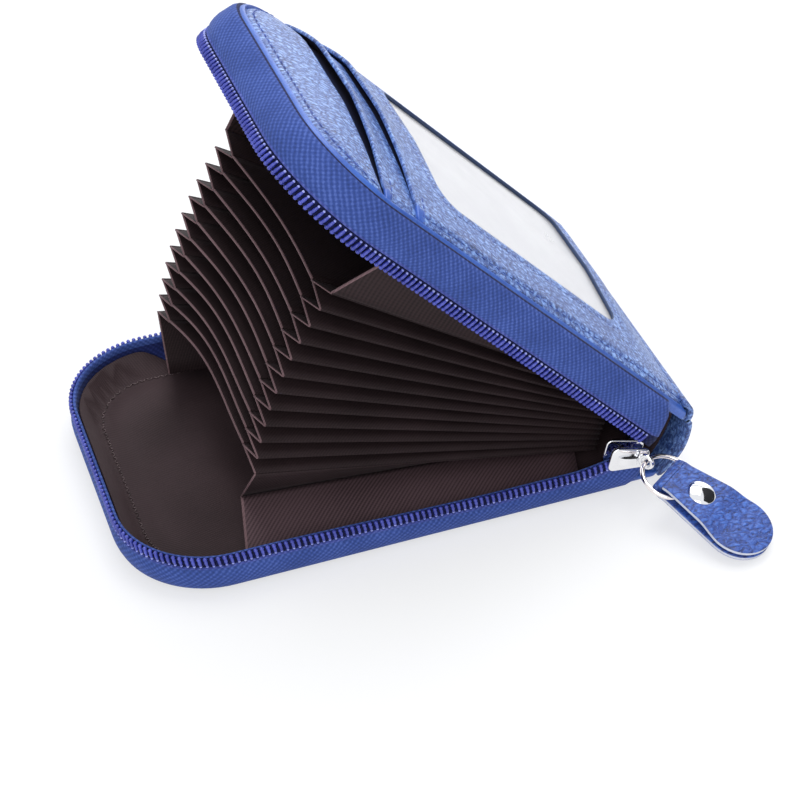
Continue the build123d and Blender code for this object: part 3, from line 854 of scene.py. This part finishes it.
def stitchRow(bm, mesh, points, pitch, zigzag=0.0):
    # a stitch every so often along a line of (x, y, height) points
    line = [Vector(point) for point in points]
    starts = [0.0]
    for a, b in zip(line, line[1:]):
        starts.append(starts[-1] + (b - a).length)
    count = int(starts[-1] / pitch)
    places, leg = [], 0
    for n in range(count):
        at = (n + 0.5) * starts[-1] / count
        while starts[leg + 1] < at:
            leg += 1
        way = (line[leg + 1] - line[leg]).normalized()
        turned = way.to_track_quat("X", "Z").to_matrix().to_4x4()
        if zigzag:
            turned = turned @ Matrix.Rotation(zigzag * (1 if n % 2 else -1), 4, "Z")
        places.append(Matrix.Translation((line[leg] + way * (at - starts[leg])) * mm) @ turned)
    scatter(bm, mesh, places)


def routeLine(inset, endX, height, legs=160):
    length = routeLength(-inset, endX)
    spots = [routePoint(length * n / legs, -inset, endX)[:2] for n in range(legs + 1)]
    return [(x, y, height(x, y)) for x, y in spots]


def windowLine(out, height, legs=6):
    # once round the window
    corner, middles = window["corner"] + out, (window["length"] / 2 + out, window["width"] / 2 + out)
    line = []
    for sx, sy, start in ((1, 1, 0), (-1, 1, 90), (-1, -1, 180), (1, -1, 270)):
        for n in range(7):
            angle = radians(start + 15 * n)
            line.append((window["x"] + sx * (middles[0] - corner) + corner * cos(angle),
                         sy * (middles[1] - corner) + corner * sin(angle)))
    smooth = []
    for (ax, ay), (bx, by) in zip(line, line[1:] + line[:1]):
        for n in range(legs):
            x, y = ax + (bx - ax) * n / legs, ay + (by - ay) * n / legs
            smooth.append((x, y, height(x, y)))
    return smooth + smooth[:1]


def onWindowPanel(x, y):
    gaped = gape(x, y, panel["windowEdgeX"], panel["secondGape"])
    return seam["panelHeight"] - 2 * panel["thickness"] - dome(x, y) - gaped + edgeDrop(x, y)


stitch = stitchMesh("seamStitch", seam["stitch"], seam["thread"])
bm = bmesh.new()
line = routeLine(cover["seamInset"], seam["endX"], lambda x, y: seam["backHeight"])
stitchRow(bm, stitch, line, seam["pitch"])
finishHalf("back", "Seam", bm, seamThreadAndGrooveShade, "leather", **asMade)

bm = bmesh.new()
line = routeLine(cover["seamInset"], seam["endX"], lambda x, y: -cover["frameRise"] - dome(x, y))
stitchRow(bm, stitch, [p for p in line if p[0] < panel["slotMouthX"] - 1.2], seam["pitch"])
for side in (-1, 1):
    y, startX = side * (case["width"] / 2 - cover["seamInset"]), panel["windowEdgeX"] + seam["panelStart"]
    xs = [startX + (seam["panelEndX"] - startX) * n / seam["panelLegs"] for n in range(seam["panelLegs"] + 1)]
    stitchRow(bm, stitch, [(x, y, onWindowPanel(x, y)) for x in xs], seam["pitch"])
    for mouth, height in (("slotMouthX", seam["slotTuckHeight"]), ("windowEdgeX", seam["windowTuckHeight"])):
        x = panel[mouth] + seam["tuckIn"]
        line = [(x, side * out, edgeDrop(x, out) - height - dome(x, out)) for out in seam["tuckAcross"]]
        stitchRow(bm, stitch, line, seam["tuckPitch"])
stitchRow(bm, stitch, windowLine(panel["seamOut"], onWindowPanel), seam["pitch"])
finishHalf("front", "Seams", bm, seamThreadAndGrooveShade, "leather", **asMade)
print("seams made")

# the accordion: eleven dividers fan out from the spine, with pleated strips between them at both sides
fan = dict(count=11, pitch=1.1, spread=2.0, mouthRadius=82.2, slant=2.4, rootRadius=6.0, halfWidth=20.5,
           foldHalfWidth=27.4, thickness=0.4, stripThickness=0.22, flapThickness=0.25, bottomThickness=0.35,
           gap=0.15, firstShare=0.10, firstHeight=3.5, flapHeight=5.6, flapRoot=9.5, wallY=34.2, hem=0.3,
           flapHem=0.5, slack=2.2, wave=0.9, flutter=0.2, wallReach=4.5, bottomX=0.3, bottomReach=0.9,
           along=26, belly=dict(back=0.7, front=0.4))
rootX = case["hingeX"] - fan["rootRadius"]
middlePlace = (fan["count"] + 1) / 2


def fanShare(place):
    return 0.5 + (place - middlePlace) * fan["spread"] / case["opening"]


def fanHeight(place):
    return case["halfHeight"] + (place - middlePlace) * fan["pitch"]


def mouthX(y):
    # the mouths stand a little further out at the far side
    return case["hingeX"] - fan["mouthRadius"] - fan["slant"] * y / fan["foldHalfWidth"]


def swung(x, y, z, share):
    return swing(share) @ Vector((x * mm, y * mm, z * mm))


def clothSheet(corners, across, thickness, hem, shape=None):
    # a sheet between four corners, root pair first and then the mouth pair, with its mouth's hem marked
    along = fan["along"]
    bm = unitGrid(along, across)
    (a, b), (c, d) = corners
    share = hem * mm / (c - a).length
    for face in bm.faces:
        if face.calc_center_median().x + 0.5 > 1 - 1 / along:
            face.material_index = 1
    for v in bm.verts:
        u, w = v.co.x + 0.5, v.co.y + 0.5
        if u < 0.999:
            u *= (1 - share) / (1 - 1 / along)
        place = a.lerp(b, w).lerp(c.lerp(d, w), u)
        v.co = place + (shape(u, w) if shape else Vector())
    solidify(bm, thickness)
    return bm


def sheetUv(co):
    return hypot(co.x / mm - case["hingeX"], co.z / mm - case["halfHeight"]), co.y / mm


def divider(n):
    share, height, half = fanShare(n), fanHeight(n), fan["halfWidth"]
    corners = [[swung(x, y, height, share) for x, y in pair]
               for pair in (((rootX, -half), (rootX, half)), ((mouthX(-half), -half), (mouthX(half), half)))]
    inward = (corners[0][0] - corners[1][0]).normalized()
    up = Vector((0, 1, 0)).cross(inward)
    lower = max(0, 1 - (n - 1) / 6)

    def bow(u, w):
        belly = sin(pi * w)
        wave = lower * fan["wave"] * sin(2 * pi * w) + fan["flutter"] * belly * (1 if n % 2 else -1)
        return (inward * fan["slack"] * belly * u ** 6 + up * wave * u ** 3) * mm

    bm = clothSheet(corners, 18, fan["thickness"], fan["hem"], bow)
    return finishPiece(f"divider{n:02d}", bm, [pocketShadedCloth, foldEdge], "accordion", [f"divider_{n:02d}"],
                       f"divider_{n:02d}", sheetUv)


def easeWeight(value):
    # where a smooth step between 0 and 1 reaches the value
    low, high = 0.0, 1.0
    for _ in range(40):
        middle = (low + high) / 2
        if middle * middle * (3 - 2 * middle) < value:
            low = middle
        else:
            high = middle
    return low


def blendBetween(piece, yStart, yEnd, weightStart, weightEnd):
    # works out where a bend with the wanted weights at two distances across the case would start and how far
    # it would reach, but uses neither, and only bakes the piece's place into its mesh
    tStart, tEnd = easeWeight(weightStart), easeWeight(weightEnd)
    scale = (yEnd - yStart) / (tEnd - tStart)
    zero = yStart - tStart * scale
    zero * mm
    (zero + scale) * mm
    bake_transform(piece)


dividers = [divider(n) for n in range(1, fan["count"] + 1)]
folds = [(fan["halfWidth"] + fan["gap"], fan["firstHeight"], fan["firstShare"])]
for half in range(1, 2 * fan["count"] + 2):
    y = fan["foldHalfWidth"] if half % 2 else fan["halfWidth"] + fan["gap"]
    folds.append((y, fanHeight(half / 2), fanShare(half / 2)))
strips = {n: [] for n in range(1, fan["count"] + 1)}
for sideName, side in (("Near", -1), ("Far", 1)):
    for half, (low, high) in enumerate(zip(folds, folds[1:])):
        corners = [[swung(x(side * y), side * y, z, share) for y, z, share in (low, high)]
                   for x in (lambda _: rootX, mouthX)]
        bm = clothSheet(corners, 4, fan["stripThickness"], fan["hem"])
        piece = finishPiece(f"gusset{sideName}{half:02d}", bm, [pocketShadedCloth, foldEdge], "accordion",
                            [f"gusset_{sideName.lower()}"], uv=sheetUv)
        n = half // 2 + 1
        body, full = (f"divider_{n:02d}", fanShare(n)) if n <= fan["count"] else ("front", 1)
        blendBetween(piece, side * low[0], side * high[0], low[2] / full, high[2] / full)
        strips[min(n, fan["count"])].append(piece)


def flap(sideName, side, half, fold, seamZ, seamShare):
    # the cloth from the outermost fold to the zip band
    reach = fan["wallReach"] * -side if half == "back" else 0
    ends = ((*fold, 0), (fan["wallY"], seamZ, seamShare, reach))
    corners = [[swung(x(side * y) - out, side * y, z, share) for y, z, share, out in ends]
               for x in (lambda _: case["hingeX"] - fan["flapRoot"], mouthX)]

    def puff(u, w):
        return Vector((0, 0, fan["belly"][half] * sin(pi * w) * sin(pi * (0.1 + 0.8 * u)) * mm))

    bm = clothSheet(corners, 10, fan["flapThickness"], fan["flapHem"], puff)
    # the lid's flaps take the darker copy of the flap cloth: painted shade
    skins = [flapCloth if half == "back" else lidFlapShadedCloth, flapCloth if reach < 0 else foldEdge]
    piece = finishPiece(f"{half}Flap{sideName}", bm, skins, "accordion", [f"{half}_flap_{sideName.lower()}"],
                        uv=sheetUv)
    blendBetween(piece, side * fold[0], side * fan["wallY"], fold[2], seamShare)


for sideName, side in (("Near", -1), ("Far", 1)):
    flap(sideName, side, "back", folds[0], fan["flapHeight"], 0)
    flap(sideName, side, "front", folds[-1], 2 * case["halfHeight"] - fan["flapHeight"], 1)

bm = bmesh.new()
edges = []
for half in range(1, 2 * fan["count"] + 2):
    x, height, share = rootX + fan["bottomX"], fanHeight(half / 2 + 0.25), fanShare(half / 2 + 0.25)
    edges.append(bm.edges.new([bm.verts.new(swung(x, side * fan["halfWidth"], height, share))
                               for side in (-1, 1)]))
for a, b in zip(edges, edges[1:]):
    bmesh.ops.bridge_loops(bm, edges=[a, b])
bmesh.ops.solidify(bm, geom=bm.faces[:], thickness=fan["bottomThickness"] * mm)
piece = finishPiece("pocketBottoms", bm, pocketShadedCloth, "lining", ["pocket_bottom"], uv=sheetUv)
chord = [swung(rootX, 0, fanHeight(p), fanShare(p)) for p in (0.0, fan["count"] + 1)]
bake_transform(piece)
print("accordion made")

# linings, stitched down round their edge
lining = dict(inset=1.45, level=2.3, endX=51.2, length=104.6, thickness=0.3, gridStep=1.7, rise=0.3, dip=0.22,
              dipHalf=1.2, quiver=0.12, wave=1.1, waveFloor=0.6, climb=5.0, lean=1.5, climbRun=(1.5, 3.3),
              climbEnd=(-38, -28))


def liningClimb(x, y):
    # the slot end's lining goes up the zip band
    return (1 - ease(*lining["climbRun"], edgeDistance(x, y))) * (1 - ease(*lining["climbEnd"], x))


def liningTop(x, y, half):
    inside = edgeDistance(x, y)
    quilt = lining["rise"] * ease(1.5, 3.4, inside)
    quilt -= lining["dip"] * max(0, 1 - abs(inside - seam["zigzagInset"]) / lining["dipHalf"])
    waves = lining["quiver"] * noise.noise(Vector((x, y, 5)) / 14)
    if half == "back":
        rumple = lining["waveFloor"] + noise.noise(Vector((x, y * 0.5, 2)) / 9)
        waves += lining["wave"] * rumple * ease(3, 9, inside)
        quilt += lining["climb"] * liningClimb(x, y)
    return quilt + waves


zigzag = stitchMesh("zigzagStitch", seam["zigzagLong"], seam["zigzagThread"])
for half in ("back", "front"):
    bm = caseOutline(lining["inset"], lining["level"], lining["endX"])
    gridOver(bm, lining["gridStep"])
    bendX, bendY = plan()[3:]
    for v in bm.verts:
        x, y = v.co.x / mm, v.co.y / mm
        v.co.z += liningTop(x, y, half) * mm
        outward = Vector((min(x - bendX, 0), y - max(-bendY, min(y, bendY)), 0))
        if half == "back" and outward.length:
            v.co += outward.normalized() * lining["lean"] * liningClimb(x, y) * mm
    solidify(bm, lining["thickness"])
    piece = finishHalf(half, "Lining", bm, liningCloth, "lining", "lining", uv=halfUv(half),
                       normals=half == "back")
    bm = bmesh.new()
    line = routeLine(seam["zigzagInset"], seam["zigzagEndX"],
                     lambda x, y: seam["zigzagHeight"] + liningTop(x, y, half))
    stitchRow(bm, zigzag, line, seam["zigzag"], seam["zigzagTurn"])
    finishHalf(half, "LiningSeam", bm, liningThread, "lining", **asMade)
print("linings made")

# the spine: a strip that bows out between the covers, and its lining
spine = dict(bow=2.3, steps=30, linePlaces=(0.001, 0.12, 0.3, 0.5, 0.7, 0.88), coverHalfWidth=33.7,
             liningHalfWidth=29.6, coverThickness=0.85, liningThickness=0.3, liningDepth=1.6,
             cap=((54.15, -1.6), (54.0, -0.4), (53.3, 0.55), (52.2, 1.1), (50.6, 1.0)))


def curveThrough(points, share):
    # a smooth line through points; share runs from 0 to 1 over them
    legs = len(points) - 1
    leg = min(int(share * legs), legs - 1)
    t = share * legs - leg
    before = points[leg - 1] if leg else points[0] * 2 - points[1]
    after = points[leg + 2] if leg + 2 <= legs else points[legs] * 2 - points[legs - 1]
    a, b = points[leg], points[leg + 1]
    return (a * 2 + (b - before) * t + (before * 2 - a * 5 + b * 4 - after) * t ** 2
            + (a * 3 - before - b * 3 + after) * t ** 3) / 2


def spineStrip(name, inset, height, depth, thickness, halfWidth, material, node, slot, cap=()):
    halfL, top = case["length"] / 2, 2 * case["halfHeight"]
    ends = [swung(halfL, 0, 0, 0), swung(halfL, 0, top, 1)]
    chord = ends[1] - ends[0]
    out = Vector((chord.z, 0, -chord.x)).normalized()
    foot = swung(halfL - inset, 0, height, 0)
    head = swung(halfL - inset, 0, top - height, 1)
    line = [foot.lerp(head, u) + out * (spine["bow"] - depth) * mm * sin(pi * u) ** 0.8
            for u in spine["linePlaces"]]
    line += [swung(x, 0, top + lift, 1) for x, lift in cap] or [head]
    bm = unitGrid(spine["steps"], 20)
    for v in bm.verts:
        w = v.co.y * 2
        v.co = curveThrough(line, v.co.x + 0.5)
        v.co.y = w * halfWidth * mm
    solidify(bm, thickness)
    piece = finishPiece(name, bm, material, slot, [node], uv=lambda co: (co.z / mm, co.y / mm))
    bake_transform(piece)
    return piece


spineStrip("spineCover", 0.3, 0.25, 0.0, spine["coverThickness"], spine["coverHalfWidth"], leatherSkin,
           "spine_leather", "leather", spine["cap"])
piece = spineStrip("spineLining", 0.6, 1.6, spine["liningDepth"], spine["liningThickness"],
                   spine["liningHalfWidth"], liningCloth, "spine_lining", "lining")
print("spine made")

# slider: two plates either side of the tape, a bridge and an eye; and the pull: a ring, a tab and a rivet
slider = dict(x=45.4, tilt=12.0, length=8.6, mouth=5.8, heel=4.4, corner=1.4, plate=0.8, innerFrom=-0.3,
              outerFrom=2.6, webLength=0.9, webHeight=0.25, eyeFrom=2.8, eyeOut=5.05, eyeRadius=1.36,
              eyeWire=0.46, edge=0.26, bridgeWidth=1.7, bridgeThick=0.9, bridgeFoot=3.1,
              bridge=((-2.9, 3.2), (-2.6, 3.75), (-1.7, 4.15), (-0.4, 4.3), (0.9, 4.3), (1.5, 4.0),
                      (1.7, 3.2)))
pull = dict(ring=5.3, wire=0.96, heading=-55.0, lift=0.03, leaf=1.1, gap=1.5, neck=9.0, neckRun=1.6,
            width=14.0, length=24.0, top=1.0, edge=0.25, endSteps=26, cuts=range(4, 23), closing=1.05,
            closeRun=(10.5, 16.0), rivetAt=7.5,
            rivet=((0, 1.0), (0.9, 0.93), (1.7, 0.74), (2.4, 0.42), (2.85, 0.12), (3.0, -0.05), (2.9, -0.25),
                   (0, -0.25)))

tabHalf = pull["gap"] / 2 + pull["leaf"]
tabStart = tabHalf - pull["top"]
reach = pull["ring"] + pull["length"]
dip = asin((case["halfHeight"] - pull["lift"]) / hypot(reach, tabHalf)) - atan2(tabHalf, reach)
heading = radians(pull["heading"])
tabAlong = Vector((cos(heading) * cos(dip), sin(heading) * cos(dip), -sin(dip)))
tabAcross = Vector((-sin(heading), cos(heading), 0))
tabUp = tabAlong.cross(tabAcross)
eye = Vector((slider["x"] + slider["eyeFrom"], -case["width"] / 2 - slider["eyeOut"], case["halfHeight"]))


def frameAt(origin, along, across, up):
    rows = [(along[i], across[i], up[i], origin[i] * mm) for i in range(3)]
    return Matrix((*rows, (0, 0, 0, 1)))


def spinRound(bm, points, closed, steps):
    # turns a line of points once round the upright axis
    verts = [bm.verts.new((x * mm, 0, z * mm)) for x, z in points]
    ends = verts[1:] + verts[:1] if closed else verts[1:]
    edges = [bm.edges.new(pair) for pair in zip(verts, ends)]
    bmesh.ops.spin(bm, geom=verts + edges, cent=(0, 0, 0), axis=(0, 0, 1), angle=2 * pi, steps=steps,
                   use_merge=True, use_duplicate=False)


def wireLoop(bm, radius, wire, steps, sides):
    turns = [2 * pi * n / sides for n in range(sides)]
    spinRound(bm, [(radius + wire * cos(a), wire * sin(a)) for a in turns], True, steps)


tabFrame = frameAt(eye + tabAlong * pull["ring"], tabAlong, tabAcross, tabUp)
tilt = radians(slider["tilt"])
sliderFrame = frameAt((slider["x"], -case["width"] / 2, case["halfHeight"]), (cos(tilt), 0, -sin(tilt)),
                      (sin(tilt), 0, cos(tilt)), (0, -1, 0))

whole = bmesh.new()
for start in (slider["innerFrom"], slider["outerFrom"]):
    bm = bmesh.new()
    end, mouth, heel = (slider[name] / 2 for name in ("length", "mouth", "heel"))
    corners = [bm.verts.new((x * mm, y * mm, start * mm))
               for x, y in ((-end, -mouth), (end, -heel), (end, heel), (-end, mouth))]
    bm.faces.new(corners)
    bevel(bm, corners, slider["corner"], 6, "VERTICES")
    thicken(bm, slider["plate"])
    roundEdges(bm, slider["edge"], 0.9, True)
    joinMesh(whole, meshFrom("plate", bm))
between = (slider["innerFrom"] + slider["outerFrom"] + slider["plate"]) / 2
webSize = (slider["webLength"], slider["webHeight"], slider["outerFrom"] - slider["innerFrom"])
bmesh.ops.create_cube(whole, size=1, matrix=Matrix.Translation((0, 0, between * mm))
                      @ Matrix.Diagonal((*(s * mm for s in webSize), 1)))
rows = []
for x, out in slider["bridge"]:
    under = max(out - slider["bridgeThick"], slider["bridgeFoot"])
    rows.append([whole.verts.new((x * mm, side * slider["bridgeWidth"] / 2 * mm, level * mm))
                 for side, level in ((-1, out), (1, out), (1, under), (-1, under))])
for a, b in zip(rows, rows[1:]):
    for i in range(4):
        whole.faces.new((a[i], a[(i + 1) % 4], b[(i + 1) % 4], b[i]))
whole.faces.new(rows[0])
whole.faces.new(rows[-1])
bmesh.ops.transform(whole, matrix=sliderFrame, verts=whole.verts)
bm = bmesh.new()
wireLoop(bm, slider["eyeRadius"], slider["eyeWire"], 32, 10)
bmesh.ops.transform(bm, matrix=frameAt(eye, tabAlong, tabUp, tabAcross), verts=bm.verts)
joinMesh(whole, meshFrom("eye", bm))
sharpen(finishPiece("sliderBody", whole, chrome, "chrome", ["slider"], "slider", weld=False), 50)


def tabLeaf(bm, side):
    # one leaf: a tongue, wide and round at its end, cut across so that it can bend
    neck, wide, level = pull["neck"] / 2, pull["width"] / 2, side * pull["gap"] / 2 * mm
    centre = pull["length"] - wide
    tangent = asin((wide - neck) / (centre - tabStart))
    points = [(tabStart, -neck), (tabStart + pull["neckRun"], -neck)]
    for n in range(pull["endSteps"] + 1):
        angle = -pi / 2 - tangent + (pi + 2 * tangent) * n / pull["endSteps"]
        points.append((centre + wide * cos(angle), wide * sin(angle)))
    points += [(tabStart + pull["neckRun"], neck), (tabStart, neck)]
    bm.faces.new([bm.verts.new((x * mm, y * mm, level)) for x, y in points])

    def leafFaces():
        return [f for f in bm.faces if all(abs(v.co.z - level) < 1e-6 for v in f.verts)]

    for cut in pull["cuts"]:
        flat = leafFaces()
        around = list({v for f in flat for v in f.verts}) + list({e for f in flat for e in f.edges}) + flat
        bmesh.ops.bisect_plane(bm, geom=around, dist=1e-7, plane_co=(cut * mm, 0, 0), plane_no=(1, 0, 0))
    grow(bm, leafFaces(), side * pull["leaf"])


bm = bmesh.new()
for side in (-1, 1):
    tabLeaf(bm, side)
bmesh.ops.recalc_face_normals(bm, faces=bm.faces)
roundEdges(bm, pull["edge"], 0.9, True)
paintFaces(bm, lambda face, centre: 1 if abs(face.normal.z) < 0.25 else 0)
for v in bm.verts:  # beyond the rivet the upper leaf comes down to the lower one
    if v.co.z > 0:
        v.co.z -= pull["closing"] * ease(*pull["closeRun"], v.co.x / mm) * mm
half, inner, outer, soft = pull["neck"] / 2, pull["gap"] / 2, tabHalf - pull["edge"], 0.1
section = [(half - pull["edge"], tabHalf), (pull["edge"] - half, tabHalf), (-half, outer),
           (-half, inner + soft), (soft - half, inner), (half - soft, inner), (half, inner + soft),
           (half, outer)]
loop = [bm.verts.new((tabStart * mm, y * mm, z * mm)) for y, z in section]
edges = [bm.edges.new(pair) for pair in zip(loop, loop[1:] + loop[:1])]
bmesh.ops.spin(bm, geom=loop + edges, cent=(tabStart * mm, 0, 0), axis=(0, -1, 0), angle=pi, steps=12,
               use_merge=False, use_duplicate=False)
bmesh.ops.transform(bm, matrix=tabFrame, verts=bm.verts)
finishPiece("tabLeather", bm, [tabSkin, rawEdge], "leather", ["pull_tab"], "tab")

bm = bmesh.new()
spinRound(bm, pull["rivet"], False, 40)
place = tabFrame @ Matrix.Translation((pull["rivetAt"] * mm, 0, (tabHalf + 0.05) * mm))
bmesh.ops.transform(bm, matrix=place, verts=bm.verts)
finishPiece("rivetCap", bm, chrome, "chrome", ["rivet"], "tab")

bm = bmesh.new()
wireLoop(bm, pull["ring"], pull["wire"] / 2, 72, 12)
bmesh.ops.transform(bm, matrix=tabFrame, verts=bm.verts)
finishPiece("pullRing", bm, wireChrome, "chrome", ["pull_ring"], "ring")
print("pull made")

# solids that stay as they were drawn
for node, material in (("back_board", boardFibre), ("front_board", boardFibre), ("bottom_stop", coilNylon),
                       ("back_top_stop", coilNylon), ("front_top_stop", coilNylon), ("rivet_back", chrome)):
    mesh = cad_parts[node].data
    mesh.materials.clear()
    mesh.materials.append(material)

# floor, light and camera
light = dict(floorGlow=0.62, floorMirror=0.85, world=0.62, worldMirror=0.38, top=4.6, near=1.8, behind=4.0)
view = dict(lens=97.754, sensor=36, shiftY=0.006, clipEnd=20, place=(-104.02, -329.673, 297.977),
            right=(0.94183, -0.3359, -0.01174), up=(0.22442, 0.60248, 0.76594),
            back=(-0.2502, -0.72402, 0.64281))


def seenRays(paint):
    # 1 for the camera's rays, and 1 for rays that a mirror or a film passes on
    path = paint.node("ShaderNodeLightPath").socket.node
    seen, glossy, through = (Signal(paint, path.outputs[f"Is {name} Ray"])
                             for name in ("Camera", "Glossy", "Transmission"))
    return seen, glossy + through


floorPaint = Paint("paleFloor", Base_Color=(0.93, 0.94, 0.96), Roughness=0.9)
tree = floorPaint.tree
glow = tree.nodes.new("ShaderNodeEmission")
glow.inputs["Color"].default_value = (1, 1, 1, 1)
joint = tree.nodes.new("ShaderNodeMixShader")
seen, mirrored = seenRays(floorPaint)
share = seen * light["floorGlow"] + mirrored * light["floorMirror"]
for source, target in ((share.socket, joint.inputs[0]), (floorPaint.shader.outputs[0], joint.inputs[1]),
                       (glow.outputs[0], joint.inputs[2]),
                       (joint.outputs[0], tree.nodes["Material Output"].inputs["Surface"])):
    tree.links.new(source, target)

studio = bpy.data.worlds.new("studio")
sky = Paint("studio", studio)
seen, mirrored = seenRays(sky)
sky.set(Color=(0.95, 0.97, 1.0), Strength=(seen + mirrored) * light["worldMirror"] + light["world"])
bpy.context.scene.world = studio


def aimAt(item, place, aim, axis):
    item.location = place
    item.rotation_euler = (Vector(aim) - Vector(place)).to_track_quat(axis, "Y").to_euler()


def card(name, size, paint):
    # a plain square, which is part of the studio
    bm = bmesh.new()
    bmesh.ops.create_grid(bm, x_segments=1, y_segments=1, size=size / 2)
    item = newObject(name, meshFrom(name, bm))
    item.data.materials.append(paint.material)
    return item


card("floor", 8, floorPaint).location = (0, 0, -0.0001)
flag = card("darkFlag", 1.0, Paint("flagBlack", Base_Color=(0.01, 0.01, 0.012), Roughness=0.9))
aimAt(flag, (0.67, -0.17, 0.28), (0.06, -0.055, 0.005), "Z")
flag.visible_diffuse = flag.visible_shadow = False  # it only darkens half of each mirror

for name, place, aim, size, power in (("topSoftbox", (0.15, 0.25, 0.75), (0, 0, 0.03), 0.6, light["top"]),
                                      ("nearFill", (-0.25, -0.6, 0.45), (0, 0, 0.03), 0.5, light["near"]),
                                      ("behindCard", (0.75, 0.95, 0.30), (0, 0, 0.05), 0.9, light["behind"])):
    lamp = bpy.data.lights.new(name, "AREA")
    lamp.size, lamp.energy = size, power
    aimAt(newObject(name, lamp), place, aim, "-Z")

cameraData = bpy.data.cameras.new("photoCamera")
cameraData.sensor_width = view["sensor"]
cameraData.lens = view["lens"]
cameraData.clip_end = view["clipEnd"]
cameraData.shift_y = view["shiftY"]
camera = newObject("photoCamera", cameraData)
camera.matrix_world = frameAt(view["place"], view["right"], view["up"], view["back"])
bpy.context.scene.camera = camera
bpy.context.scene.view_settings.view_transform = "Standard"
bpy.context.view_layer.update()


print("scene ready")
